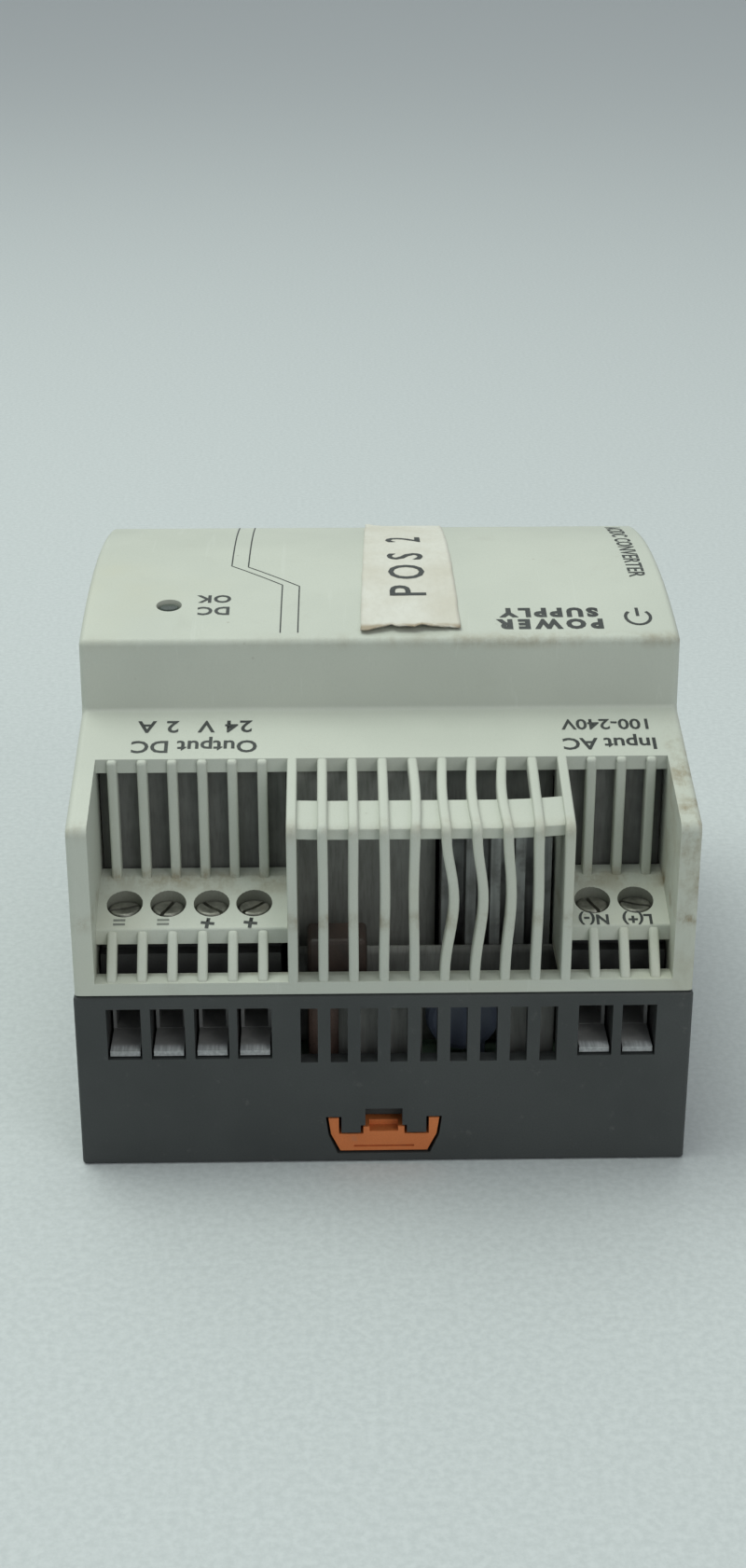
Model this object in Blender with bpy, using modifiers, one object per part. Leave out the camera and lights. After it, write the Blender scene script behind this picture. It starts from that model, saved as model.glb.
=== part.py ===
"""A four-module DIN rail power supply, built piece by piece.

Frame: +Z is the front of the unit, Z = 0 its rear plane, -Y the end with the terminals, X along the rail.
Lengths are written in millimetres and turned into metres by the helpers.
"""

import math

import bmesh
import bpy
from mathutils import Matrix

MM = 0.001
EPS = 1.0

# Overall size
WIDTH = 72.0
HEIGHT = 90.0
DEPTH = 61.0
HALF_W = WIDTH / 2
HALF_H = HEIGHT / 2

# Rear housing
BASE_TOP = 22.75
BASE_WALL = 2.0
BASE_FLOOR = 8.0
POCKET_FLOOR = 2.0
GUIDE_BLOCK_HALF = 10.0

# Rail channel for a 35 mm rail
RAIL_SEAT_Z = 6.0
CHANNEL_NEAR_Y = -18.5
CHANNEL_FAR_Y = 15.5
HOOK_DEPTH_Y = 18.7
HOOK_TOP_Z = 4.5

# Front cover
COVER_BOTTOM = 22.95
COVER_HALF_W = 35.8
RIM_INNER_X = 33.4
SHELL = 1.8
BEND_Z = 44.0
SHOULDER_END = 21.7
SHOULDER_Z = 49.6
RISER_Y = 22.2
DOME_EDGE_Z = 58.3
DOME_STEPS = 14
BAR_TOP_Z = 24.5
LEDGE_Y = 12.0

# Ventilation ribs
RIB_PITCH = 3.5
RIB_HALF = 0.6
RIB_FIRST_X = -31.5
RIB_COUNT = 19
LEFT_WALL_RIB = 6
RIGHT_WALL_RIB = 15
WALL_REACH = 14.5

# Terminals
SCREW_Y = 8.0
POLE_XS = (-30.3, -25.2, -20.1, -15.1, 24.7, 29.8)
OUTPUT_BODY_X = (-33.1, -12.0)
INPUT_BODY_X = (22.0, 33.1)
HEAD_RADIUS = 1.85
HEAD_HOLE_RADIUS = 2.1
SHANK_RADIUS = 1.1
SHANK_HOLE_RADIUS = 1.4
HEAD_BOTTOM = 27.6
HEAD_TOP = 30.3
SHANK_BOTTOM = 20.1
CAGE_HALF = 1.8
ENTRY_HALF = 2.0
ENTRY_Z = (14.4, 21.1)

# Vents in the rear housing's ends
VENT_FIRST_X = -8.75
VENT_COUNT = 9
VENT_HALF = 1.0
VENT_Z = (13.8, 21.0)

# Circuit board
BOARD_HALF_X = 33.5
BOARD_HALF_Y = 42.0
BOARD_Z = (9.0, 10.6)
PARTS_Z = 10.9
BOARD_SCREWS = ((-31.0, -25.4), (31.2, -25.4), (-31.0, 38.0), (31.0, 38.0))

# Front indicator
LED_X = -25.5
LED_Y = -14.4
LED_HOLE_RADIUS = 1.55
GUIDE_RADIUS = 1.25

# Snap tongues between cover and rear housing
SNAP_YS = (-20.0, 20.0)
SNAP_HALF = 4.0

# Rail foot and its spring
FOOT_END_Y = -44.8
FOOT_SHOULDER_Y = -18.8
FOOT_NOSE_Y = -16.0
SPRING_RADIUS = 1.15
SPRING_WIRE = 0.22
SPRING_TURNS = 6
SPRING_Y = (-33.9, -28.7)
SPRING_Z = 3.3

ROUND = 32
SMALL_ROUND = 16


def near(y_from_end):
    """Y in the part's frame of a distance measured from the terminal end."""
    return y_from_end - HALF_H


# ---------------------------------------------------------------- scene helpers

for old in list(bpy.data.objects):
    bpy.data.objects.remove(old, do_unlink=True)

parts = bpy.data.collections.new("din_rail_power_supply")
cutters = bpy.data.collections.new("cutters")
bpy.context.scene.collection.children.link(parts)
bpy.context.scene.collection.children.link(cutters)


def make_material(name, colour, roughness, metallic=0.0):
    material = bpy.data.materials.new(name)
    material.use_nodes = True
    shader = material.node_tree.nodes["Principled BSDF"]
    shader.inputs["Base Color"].default_value = (*colour, 1.0)
    shader.inputs["Roughness"].default_value = roughness
    shader.inputs["Metallic"].default_value = metallic
    return material


COVER_GREY = make_material("cover_grey", (0.52, 0.56, 0.50), 0.55)
HOUSING_BLACK = make_material("housing_black", (0.045, 0.05, 0.05), 0.5)
FOOT_ORANGE = make_material("foot_orange", (0.55, 0.15, 0.04), 0.45)
TERMINAL_BLACK = make_material("terminal_black", (0.03, 0.03, 0.032), 0.5)
ZINC_STEEL = make_material("zinc_steel", (0.55, 0.55, 0.52), 0.4, 1.0)
SPRING_STEEL = make_material("spring_steel", (0.45, 0.45, 0.45), 0.3, 1.0)
TINNED_COPPER = make_material("tinned_copper", (0.65, 0.63, 0.58), 0.35, 1.0)
BOARD_GREEN = make_material("board_green", (0.02, 0.16, 0.06), 0.45)
FERRITE = make_material("ferrite", (0.05, 0.05, 0.055), 0.7)
TAPE_YELLOW = make_material("tape_yellow", (0.75, 0.55, 0.08), 0.5)
ENAMEL_COPPER = make_material("enamel_copper", (0.55, 0.2, 0.08), 0.35, 0.6)
CAN_DARK = make_material("can_dark", (0.04, 0.045, 0.06), 0.4)
EPOXY_BLUE = make_material("epoxy_blue", (0.04, 0.12, 0.4), 0.4)
EPOXY_BROWN = make_material("epoxy_brown", (0.28, 0.09, 0.05), 0.4)
EPOXY_GREEN = make_material("epoxy_green", (0.08, 0.2, 0.1), 0.45)
CASE_YELLOW = make_material("case_yellow", (0.7, 0.6, 0.2), 0.5)
CHIP_BLACK = make_material("chip_black", (0.02, 0.02, 0.02), 0.5)
ALUMINIUM = make_material("heatsink_grey", (0.3, 0.31, 0.32), 0.45, 0.9)
CERAMIC = make_material("ceramic", (0.75, 0.73, 0.68), 0.6)
CLEAR_ACRYLIC = make_material("clear_acrylic", (0.75, 0.8, 0.75), 0.15)
LED_GREEN = make_material("led_green", (0.1, 0.55, 0.15), 0.2)


def finish(bm, name, collection, material=None):
    """Turns a bmesh into a named object with consistent outward faces."""
    bmesh.ops.recalc_face_normals(bm, faces=bm.faces)
    mesh = bpy.data.meshes.new(name)
    bm.to_mesh(mesh)
    bm.free()
    obj = bpy.data.objects.new(name, mesh)
    collection.objects.link(obj)
    if material:
        mesh.materials.append(material)
    if collection is cutters:
        obj.hide_render = True
        obj.display_type = "WIRE"
    return obj


def put_box(bm, xs, ys, zs):
    """Adds a box given by its limits along each axis, in millimetres."""
    size = [(hi - lo) * MM for lo, hi in (xs, ys, zs)]
    centre = [(hi + lo) / 2 * MM for lo, hi in (xs, ys, zs)]
    place = Matrix.Translation(centre) @ Matrix.Diagonal((*size, 1.0))
    bmesh.ops.create_cube(bm, size=1.0, matrix=place)


def put_cylinder(bm, x, y, radius, zs, segments=ROUND):
    """Adds an upright cylinder, in millimetres."""
    place = Matrix.Translation((x * MM, y * MM, (zs[0] + zs[1]) / 2 * MM))
    bmesh.ops.create_cone(
        bm,
        cap_ends=True,
        segments=segments,
        radius1=radius * MM,
        radius2=radius * MM,
        depth=(zs[1] - zs[0]) * MM,
        matrix=place,
    )


def boxes(name, limits, collection, material=None):
    bm = bmesh.new()
    for xs, ys, zs in limits:
        put_box(bm, xs, ys, zs)
    return finish(bm, name, collection, material)


def cylinders(name, items, collection, material=None, segments=ROUND):
    bm = bmesh.new()
    for x, y, radius, zs in items:
        put_cylinder(bm, x, y, radius, zs, segments)
    return finish(bm, name, collection, material)


def curve_to_mesh(obj, name, collection, material=None):
    """Replaces a curve object by a welded mesh object of the same shape, in world space."""
    graph = bpy.context.evaluated_depsgraph_get()
    mesh = bpy.data.meshes.new_from_object(obj.evaluated_get(graph))
    mesh.transform(obj.matrix_world)
    bpy.data.objects.remove(obj, do_unlink=True)
    bm = bmesh.new()
    bm.from_mesh(mesh)
    bmesh.ops.remove_doubles(bm, verts=bm.verts, dist=0.000001)
    bpy.data.meshes.remove(mesh)
    return finish(bm, name, collection, material)


# Turns an outline drawn in XY and extruded along Z to one of the part's planes.
ALONG_X = Matrix(((0, 0, 1, 0), (1, 0, 0, 0), (0, 1, 0, 0), (0, 0, 0, 1)))
ALONG_Y = Matrix(((1, 0, 0, 0), (0, 0, -1, 0), (0, 1, 0, 0), (0, 0, 0, 1)))


def outline(name, points, start, end, collection, material=None, axis=ALONG_X):
    """A flat outline, filled and extruded between two planes."""
    curve = bpy.data.curves.new(name, "CURVE")
    curve.dimensions = "2D"
    curve.fill_mode = "BOTH"
    curve.extrude = abs(end - start) / 2 * MM
    spline = curve.splines.new("POLY")
    spline.points.add(len(points) - 1)
    for point, (a, b) in zip(spline.points, points):
        point.co = (a * MM, b * MM, 0.0, 1.0)
    spline.use_cyclic_u = True
    obj = bpy.data.objects.new(name, curve)
    collection.objects.link(obj)
    middle = (start + end) / 2 * MM
    if axis is ALONG_X:
        obj.matrix_world = Matrix.Translation((middle, 0.0, 0.0)) @ axis
    else:
        obj.matrix_world = Matrix.Translation((0.0, middle, 0.0)) @ axis
    bpy.context.view_layer.update()
    return curve_to_mesh(obj, name, collection, material)


def outlines(name, points, spans, collection):
    """The same outline extruded over several spans along X, as one cutter."""
    bm = bmesh.new()
    for index, (start, end) in enumerate(spans):
        piece = outline(f"{name}_{index}", points, start, end, collection)
        bm.from_mesh(piece.data)
        bpy.data.objects.remove(piece, do_unlink=True)
    return finish(bm, name, collection)


def boolean(obj, other, operation="DIFFERENCE"):
    """Adds an exact Boolean with a cutter."""
    modifier = obj.modifiers.new(f"{operation.lower()}_{other.name}", "BOOLEAN")
    modifier.operation = operation
    modifier.solver = "EXACT"
    modifier.object = other
    return obj


def smooth(obj, angle=35.0):
    obj.data.shade_smooth()
    obj.data.set_sharp_from_angle(angle=math.radians(angle))
    return obj


def set_origin(obj, x, y, z):
    """Moves an object's origin without moving its shape."""
    shift = Matrix.Translation((-x * MM, -y * MM, -z * MM))
    obj.data.transform(shift)
    obj.location = (x * MM, y * MM, z * MM)
    return obj


def turned(name, profile, x, y, collection, material, segments=ROUND, closed=False):
    """A profile of radius and height, top to bottom, turned about an upright axis by a Screw modifier."""
    bm = bmesh.new()
    verts = [bm.verts.new((radius * MM, 0.0, z * MM)) for radius, z in profile]
    for first, second in zip(verts, verts[1:]):
        bm.edges.new((first, second))
    if closed:
        bm.edges.new((verts[-1], verts[0]))
    mesh = bpy.data.meshes.new(name)
    bm.to_mesh(mesh)
    bm.free()
    obj = bpy.data.objects.new(name, mesh)
    collection.objects.link(obj)
    mesh.materials.append(material)
    obj.location = (x * MM, y * MM, 0.0)
    screw = obj.modifiers.new("turn", "SCREW")
    screw.axis = "Z"
    screw.steps = segments
    screw.render_steps = segments
    screw.use_merge_vertices = True
    screw.merge_threshold = 0.000001
    screw.use_smooth_shade = True
    return obj


# ---------------------------------------------------------------- rear housing


def build_rear_housing():
    housing = boxes(
        "rear_housing",
        [((-HALF_W, HALF_W), (-HALF_H, HALF_H), (0.0, BASE_TOP))],
        parts,
        HOUSING_BLACK,
    )
    inner_x = HALF_W - BASE_WALL
    inner_y = HALF_H - BASE_WALL
    boolean(
        housing,
        boxes(
            "housing_cavity",
            [((-inner_x, inner_x), (-inner_y, inner_y), (BASE_FLOOR, BASE_TOP + EPS))],
            cutters,
        ),
    )
    near_pocket = (-inner_y, CHANNEL_NEAR_Y - BASE_WALL)
    far_pocket = (HOOK_DEPTH_Y + BASE_WALL, inner_y)
    pocket_z = (POCKET_FLOOR, BASE_FLOOR + EPS)
    boolean(
        housing,
        boxes(
            "housing_pockets",
            [
                ((-inner_x, -GUIDE_BLOCK_HALF), near_pocket, pocket_z),
                ((GUIDE_BLOCK_HALF, inner_x), near_pocket, pocket_z),
                ((-inner_x, inner_x), far_pocket, pocket_z),
            ],
            cutters,
        ),
    )
    boolean(
        housing,
        boxes(
            "rail_channel",
            [((-HALF_W - EPS, HALF_W + EPS), (CHANNEL_NEAR_Y, CHANNEL_FAR_Y), (-EPS, RAIL_SEAT_Z))],
            cutters,
        ),
    )
    boolean(
        housing,
        boxes(
            "hook_slot",
            [((-HALF_W - EPS, HALF_W + EPS), (CHANNEL_FAR_Y - EPS, HOOK_DEPTH_Y), (HOOK_TOP_Z, RAIL_SEAT_Z))],
            cutters,
        ),
    )
    boolean(
        housing,
        outline(
            "foot_tunnel",
            foot_section(0.3),
            -HALF_H - EPS,
            CHANNEL_NEAR_Y + EPS,
            cutters,
            axis=ALONG_Y,
        ),
    )
    boolean(
        housing,
        boxes("driver_slot", [((-2.2, 2.2), (-HALF_H - EPS, near(2.5)), (4.6, 7.4))], cutters),
    )
    entries = [
        ((x - ENTRY_HALF, x + ENTRY_HALF), (-HALF_H - EPS, near(3.0)), ENTRY_Z) for x in POLE_XS
    ]
    vents = []
    for index in range(VENT_COUNT):
        x = VENT_FIRST_X + RIB_PITCH * index
        vents.append(((x - VENT_HALF, x + VENT_HALF), (-HALF_H - EPS, near(3.0)), VENT_Z))
        vents.append(((x - VENT_HALF, x + VENT_HALF), (-near(3.0), HALF_H + EPS), VENT_Z))
    boolean(housing, boxes("end_openings", entries + vents, cutters))
    snap_windows = []
    for y in SNAP_YS:
        for xs in ((-HALF_W - EPS, -inner_x + EPS), (inner_x - EPS, HALF_W + EPS)):
            snap_windows.append((xs, (y - SNAP_HALF - 0.3, y + SNAP_HALF + 0.3), (17.4, 20.2)))
    boolean(housing, boxes("snap_windows", snap_windows, cutters))
    boolean(
        housing,
        cylinders(
            "board_bosses",
            [(x, y, 3.4, (POCKET_FLOOR - 0.5, BOARD_Z[0] - 0.3)) for x, y in BOARD_SCREWS],
            cutters,
            segments=SMALL_ROUND,
        ),
        "UNION",
    )
    boolean(
        housing,
        cylinders(
            "boss_holes",
            [(x, y, 1.3, (3.6, BOARD_Z[0] + EPS)) for x, y in BOARD_SCREWS],
            cutters,
            segments=SMALL_ROUND,
        ),
    )
    boolean(
        housing,
        boxes("spring_post", [((-1.4, 1.4), (-35.7, -34.4), (1.9, 5.8))], cutters),
        "UNION",
    )
    return housing


def foot_section(clearance):
    """Section of the rail foot in X and Z, grown by a clearance for the tunnel that it runs in."""
    c = clearance
    right = [
        (5.2 + c, 1.5 - c),
        (6.3 + c, 3.8),
        (6.6 + c, 6.0 + c),
        (5.35 - c, 6.0 + c),
        (5.35 - c, 3.8 + c),
        (2.45 + c, 3.8 + c),
        (2.45 + c, 4.8 + c),
    ]
    left = [(-x, z) for x, z in reversed(right)]
    return right + left


# ---------------------------------------------------------------- front cover


def arc(start, apex_z, end, steps):
    """Points of a circular arc between two points at one height, rising to an apex."""
    half = (end[0] - start[0]) / 2
    rise = apex_z - start[1]
    radius = (half * half + rise * rise) / (2 * rise)
    middle = (start[0] + end[0]) / 2
    sweep = math.asin(half / radius)
    points = []
    for step in range(steps + 1):
        angle = -sweep + 2 * sweep * step / steps
        points.append((middle + radius * math.sin(angle), apex_z - radius + radius * math.cos(angle)))
    return points


def cover_outer():
    """The cover's side outline, as distance from the terminal end and height."""
    rise = [
        (0.0, COVER_BOTTOM),
        (0.0, BEND_Z - 1.2),
        (0.3, BEND_Z - 0.35),
        (1.1, BEND_Z + 0.25),
        (SHOULDER_END, SHOULDER_Z),
    ]
    dome = arc((RISER_Y, DOME_EDGE_Z), DEPTH, (HEIGHT - RISER_Y, DOME_EDGE_Z), DOME_STEPS)
    fall = [(HEIGHT - y, z) for y, z in reversed(rise)]
    return [(near(y), z) for y, z in rise + dome + fall]


def cover_inner():
    rise = [
        (SHELL, COVER_BOTTOM - EPS),
        (SHELL, BEND_Z - 1.2),
        (RISER_Y + 1.4, 48.4),
    ]
    edge = (RISER_Y + SHELL, DOME_EDGE_Z - 1.4)
    dome = arc(edge, DEPTH - SHELL, (HEIGHT - edge[0], edge[1]), DOME_STEPS)
    fall = [(HEIGHT - y, z) for y, z in reversed(rise)]
    return [(near(y), z) for y, z in rise + dome + fall]


def rib_x(index):
    return RIB_FIRST_X + RIB_PITCH * index


LEFT_WALL = (rib_x(LEFT_WALL_RIB) - RIB_HALF, rib_x(LEFT_WALL_RIB) + RIB_HALF)
RIGHT_WALL = (rib_x(RIGHT_WALL_RIB) - RIB_HALF, rib_x(RIGHT_WALL_RIB) + RIB_HALF)


def gaps(low, high):
    """The gaps between the ribs that lie from one X to another."""
    edges = [low]
    for index in range(RIB_COUNT):
        x = rib_x(index)
        if low + RIB_HALF < x < high - RIB_HALF:
            edges += [x - RIB_HALF, x + RIB_HALF]
    edges.append(high)
    return list(zip(edges[0::2], edges[1::2]))


def build_front_cover():
    cover = outline("front_cover", cover_outer(), -COVER_HALF_W, COVER_HALF_W, parts, COVER_GREY)
    hollow = outline("cover_hollow", cover_inner(), -RIM_INNER_X, RIM_INNER_X, cutters)
    keep_walls = boxes(
        "terminal_walls",
        [(wall, (-HALF_H - EPS, near(WALL_REACH)), (COVER_BOTTOM - 2 * EPS, DEPTH)) for wall in (LEFT_WALL, RIGHT_WALL)],
        cutters,
    )
    boolean(hollow, keep_walls)
    boolean(cover, hollow)
    sides = ((-RIM_INNER_X + 0.02, LEFT_WALL[0] - 0.02), (RIGHT_WALL[1] + 0.02, RIM_INNER_X - 0.02))
    boolean(
        cover,
        boxes(
            "terminal_recesses",
            [(xs, (-HALF_H - EPS, near(LEDGE_Y)), (BAR_TOP_Z, DEPTH)) for xs in sides],
            cutters,
        ),
    )
    panel = [
        (0.3, 23.7),
        (0.4, 24.5),
        (1.6, 25.1),
        (3.1, 26.2),
        (4.0, 27.5),
        (4.0, 29.5),
        (12.3, 32.2),
        (12.3, 46.3),
        (14.3, 46.8),
        (14.3, 31.3),
        (13.0, 30.5),
        (5.4, 28.1),
        (4.6, 26.4),
        (2.2, 24.2),
        (1.2, 23.6),
    ]
    panel = [(near(y), z) for y, z in panel]
    for label, low, high in (
        ("output_panel", -RIM_INNER_X - 0.5, LEFT_WALL[0] + 0.5),
        ("input_panel", RIGHT_WALL[1] - 0.5, RIM_INNER_X + 0.5),
    ):
        boolean(cover, outline(label, panel, low, high, cutters), "UNION")
    lower = []
    upper = []
    recess_gaps = gaps(-RIM_INNER_X + 0.03, LEFT_WALL[0] - 0.05) + gaps(RIGHT_WALL[1] + 0.05, RIM_INNER_X - 0.03)
    for low, high in recess_gaps:
        lower.append(((low, high), (-HALF_H - EPS, near(7.0)), (BAR_TOP_Z, 27.4)))
        upper.append(((low, high), (near(11.5), near(16.0)), (33.2, 44.8)))
    boolean(cover, boxes("recess_slots", lower + upper, cutters))
    slot = [
        (-EPS, BAR_TOP_Z),
        (-EPS, BEND_Z + 8.0),
        (LEDGE_Y, BEND_Z + 8.0),
        (LEDGE_Y, BEND_Z - 4.0),
        (3.0, BEND_Z - 4.0),
        (3.0, BAR_TOP_Z),
    ]
    near_slot = [(near(y), z) for y, z in slot]
    far_slot = [(near(HEIGHT - y), z) for y, z in slot]
    boolean(cover, outlines("middle_slots", near_slot, gaps(LEFT_WALL[1] + 0.02, RIGHT_WALL[0] - 0.02), cutters))
    boolean(cover, outlines("far_slots", far_slot, gaps(-RIM_INNER_X + 0.02, RIM_INNER_X - 0.02), cutters))
    stiffener = [(1.5, 41.9), (1.5, 43.5), (6.0, 44.7), (6.2, 43.2), (3.4, 42.3), (3.2, 41.9)]
    near_bar = [(near(y), z) for y, z in stiffener]
    far_bar = [(near(HEIGHT - y), z) for y, z in stiffener]
    boolean(
        cover,
        outline("near_stiffener", near_bar, LEFT_WALL[1] - 0.4, RIGHT_WALL[0] + 0.4, cutters),
        "UNION",
    )
    boolean(
        cover,
        outline("far_stiffener", far_bar, -RIM_INNER_X - 0.4, RIM_INNER_X + 0.4, cutters),
        "UNION",
    )
    tongues = []
    barbs = []
    for y in SNAP_YS:
        ys = (y - SNAP_HALF, y + SNAP_HALF)
        for side in (-1, 1):
            tongues.append((tuple(sorted((side * 32.3, side * 33.7))), ys, (17.6, BAR_TOP_Z)))
            barb_ys = (y - SNAP_HALF + 0.4, y + SNAP_HALF - 0.4)
            barbs.append((tuple(sorted((side * 33.2, side * 34.9))), barb_ys, (17.9, 19.7)))
    boolean(cover, boxes("snap_tongues", tongues, cutters), "UNION")
    boolean(cover, boxes("snap_barbs", barbs, cutters), "UNION")
    holes = [(x, near(SCREW_Y), HEAD_HOLE_RADIUS, (26.0, 34.0)) for x in POLE_XS]
    boolean(cover, cylinders("screw_holes", holes, cutters))
    boolean(
        cover,
        cylinders("indicator_hole", [(LED_X, LED_Y, LED_HOLE_RADIUS, (52.0, DEPTH + EPS))], cutters),
    )
    return cover


# ---------------------------------------------------------------- rail foot


def build_rail_foot():
    foot = outline(
        "rail_foot", foot_section(0.0), FOOT_END_Y, FOOT_SHOULDER_Y, parts, FOOT_ORANGE, axis=ALONG_Y
    )
    for label, half, low, top in (("wide", 4.9, 1.8, 3.7), ("tongue", 2.3, 2.4, 4.7)):
        nose = [
            (FOOT_SHOULDER_Y - 1.0, low),
            (FOOT_NOSE_Y - 1.2, low),
            (FOOT_NOSE_Y, low + 0.9),
            (FOOT_NOSE_Y, top),
            (FOOT_SHOULDER_Y - 1.0, top),
        ]
        boolean(foot, outline(f"foot_nose_{label}", nose, -half, half, cutters), "UNION")
    boolean(foot, boxes("spring_window", [((-2.0, 2.0), (-36.0, -24.0), (0.5, 6.5))], cutters))
    boolean(foot, boxes("driver_notch", [((-1.7, 1.7), (FOOT_END_Y - EPS, -43.2), (4.1, 6.5))], cutters))
    set_origin(foot, 0.0, FOOT_END_Y, SPRING_Z)
    return foot


def build_foot_spring():
    steps = 12 * SPRING_TURNS
    curve = bpy.data.curves.new("foot_spring", "CURVE")
    curve.dimensions = "3D"
    curve.bevel_depth = SPRING_WIRE * MM
    curve.bevel_resolution = 1
    curve.use_fill_caps = True
    spline = curve.splines.new("POLY")
    spline.points.add(steps)
    for index, point in enumerate(spline.points):
        angle = 2 * math.pi * SPRING_TURNS * index / steps
        y = SPRING_Y[0] + (SPRING_Y[1] - SPRING_Y[0]) * index / steps
        x = SPRING_RADIUS * math.cos(angle)
        z = SPRING_Z + SPRING_RADIUS * math.sin(angle)
        point.co = (x * MM, y * MM, z * MM, 1.0)
    obj = bpy.data.objects.new("foot_spring", curve)
    parts.objects.link(obj)
    bpy.context.view_layer.update()
    return smooth(curve_to_mesh(obj, "foot_spring", parts, SPRING_STEEL), 60.0)


# ---------------------------------------------------------------- terminals


def build_terminal_body(name, xs, poles):
    section = [
        (2.4, PARTS_Z),
        (2.4, 22.3),
        (4.7, 22.3),
        (4.7, 25.9),
        (6.4, 25.9),
        (6.4, 27.3),
        (13.6, 27.3),
        (13.6, PARTS_Z),
    ]
    section = [(near(y), z) for y, z in section]
    body = outline(name, section, xs[0], xs[1], parts, TERMINAL_BLACK)
    cages = [((x - 2.1, x + 2.1), (near(5.5), near(11.0)), (14.2, 25.1)) for x in poles]
    entries = [((x - 2.05, x + 2.05), (near(1.5), near(6.0)), (14.25, 21.3)) for x in poles]
    slots = [((x - 1.3, x + 1.3), (near(10.5), near(14.5)), (18.7, 20.0)) for x in poles]
    screws = [(x, near(SCREW_Y), SHANK_HOLE_RADIUS, (24.0, 29.0)) for x in poles]
    boolean(body, boxes(name + "_cage_channels", cages, cutters))
    boolean(body, boxes(name + "_entries", entries, cutters))
    boolean(body, boxes(name + "_bar_slots", slots, cutters))
    boolean(body, cylinders(name + "_screw_ways", screws, cutters, segments=SMALL_ROUND))
    return body


def build_cage(index, x):
    """A box clamp: a loop that rises along its screw, with a lip that reaches into the wire entry."""
    y = near(SCREW_Y)
    cage = boxes(
        f"clamp_cage_{index}",
        [((x - CAGE_HALF, x + CAGE_HALF), (near(5.8), near(10.5)), (14.6, 22.4))],
        parts,
        ZINC_STEEL,
    )
    boolean(
        cage,
        boxes(
            f"cage_window_{index}",
            [((x - 1.4, x + 1.4), (near(5.8) - EPS, near(10.5) + EPS), (15.4, 20.8))],
            cutters,
        ),
    )
    boolean(
        cage,
        boxes(
            f"cage_lip_{index}",
            [((x - 1.75, x + 1.75), (near(0.4), near(6.6)), (14.65, 15.35))],
            cutters,
        ),
        "UNION",
    )
    hole = cylinders(
        f"cage_thread_{index}", [(x, y, SHANK_HOLE_RADIUS, (20.0, 24.0))], cutters, segments=SMALL_ROUND
    )
    boolean(cage, hole)
    set_origin(cage, x, y, 14.6)
    return cage


def build_terminal_screw(index, x):
    profile = [
        (0.0, HEAD_TOP),
        (HEAD_RADIUS - 0.25, HEAD_TOP),
        (HEAD_RADIUS, HEAD_TOP - 0.25),
        (HEAD_RADIUS, HEAD_BOTTOM),
        (SHANK_RADIUS, HEAD_BOTTOM),
        (SHANK_RADIUS, SHANK_BOTTOM + 0.5),
        (SHANK_RADIUS - 0.3, SHANK_BOTTOM),
        (0.0, SHANK_BOTTOM),
    ]
    name = f"terminal_screw_{index}"
    y = near(SCREW_Y)
    screw = turned(name, profile, x, y, parts, ZINC_STEEL, 24)
    slot = boxes(
        f"screw_slot_{index}",
        [
            ((x - HEAD_RADIUS - EPS, x + HEAD_RADIUS + EPS), (y - 0.3, y + 0.3), (HEAD_TOP - 0.9, HEAD_TOP + EPS)),
        ],
        cutters,
    )
    boolean(screw, slot)
    return screw


def build_current_bar(index, x):
    section = [(5.9, 19.0), (5.9, 19.7), (16.2, 19.7), (16.2, PARTS_Z), (15.5, PARTS_Z), (15.5, 19.0)]
    section = [(near(y), z) for y, z in section]
    return outline(f"current_bar_{index}", section, x - 1.0, x + 1.0, parts, TINNED_COPPER)


# ---------------------------------------------------------------- circuit board and what it carries


def build_board():
    board = boxes(
        "circuit_board",
        [((-BOARD_HALF_X, BOARD_HALF_X), (-BOARD_HALF_Y, BOARD_HALF_Y), BOARD_Z)],
        parts,
        BOARD_GREEN,
    )
    holes = [(x, y, 1.4, (BOARD_Z[0] - EPS, BOARD_Z[1] + EPS)) for x, y in BOARD_SCREWS]
    boolean(board, cylinders("board_holes", holes, cutters, segments=SMALL_ROUND))
    return board


def build_board_screws():
    profile = [
        (0.0, 12.5),
        (1.3, 12.5),
        (2.2, 11.8),
        (2.2, PARTS_Z),
        (1.0, PARTS_Z),
        (1.0, 5.0),
        (0.4, 4.2),
        (0.0, 4.2),
    ]
    for index, (x, y) in enumerate(BOARD_SCREWS, start=1):
        screw = turned(f"board_screw_{index}", profile, x, y, parts, ZINC_STEEL, SMALL_ROUND)
        arms = [
            ((x - 1.2, x + 1.2), (y - 0.25, y + 0.25), (11.6, 13.0)),
            ((x - 0.25, x + 0.25), (y - 1.2, y + 1.2), (11.55, 13.1)),
        ]
        for label, arm in zip("ab", arms):
            boolean(screw, boxes(f"drive_{index}_{label}", [arm], cutters))


def build_can(name, x, y, radius, height, material):
    """An electrolytic capacitor: a sleeved can with a rolled groove near its foot."""
    top = PARTS_Z + height
    profile = [
        (0.0, top - 0.4),
        (radius - 1.3, top - 0.4),
        (radius - 0.9, top),
        (radius - 0.3, top),
        (radius, top - 0.4),
        (radius, PARTS_Z + 3.4),
        (radius - 0.6, PARTS_Z + 2.7),
        (radius, PARTS_Z + 2.0),
        (radius, PARTS_Z),
        (0.0, PARTS_Z),
    ]
    return turned(name, profile, x, y, parts, material, 28)


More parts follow.
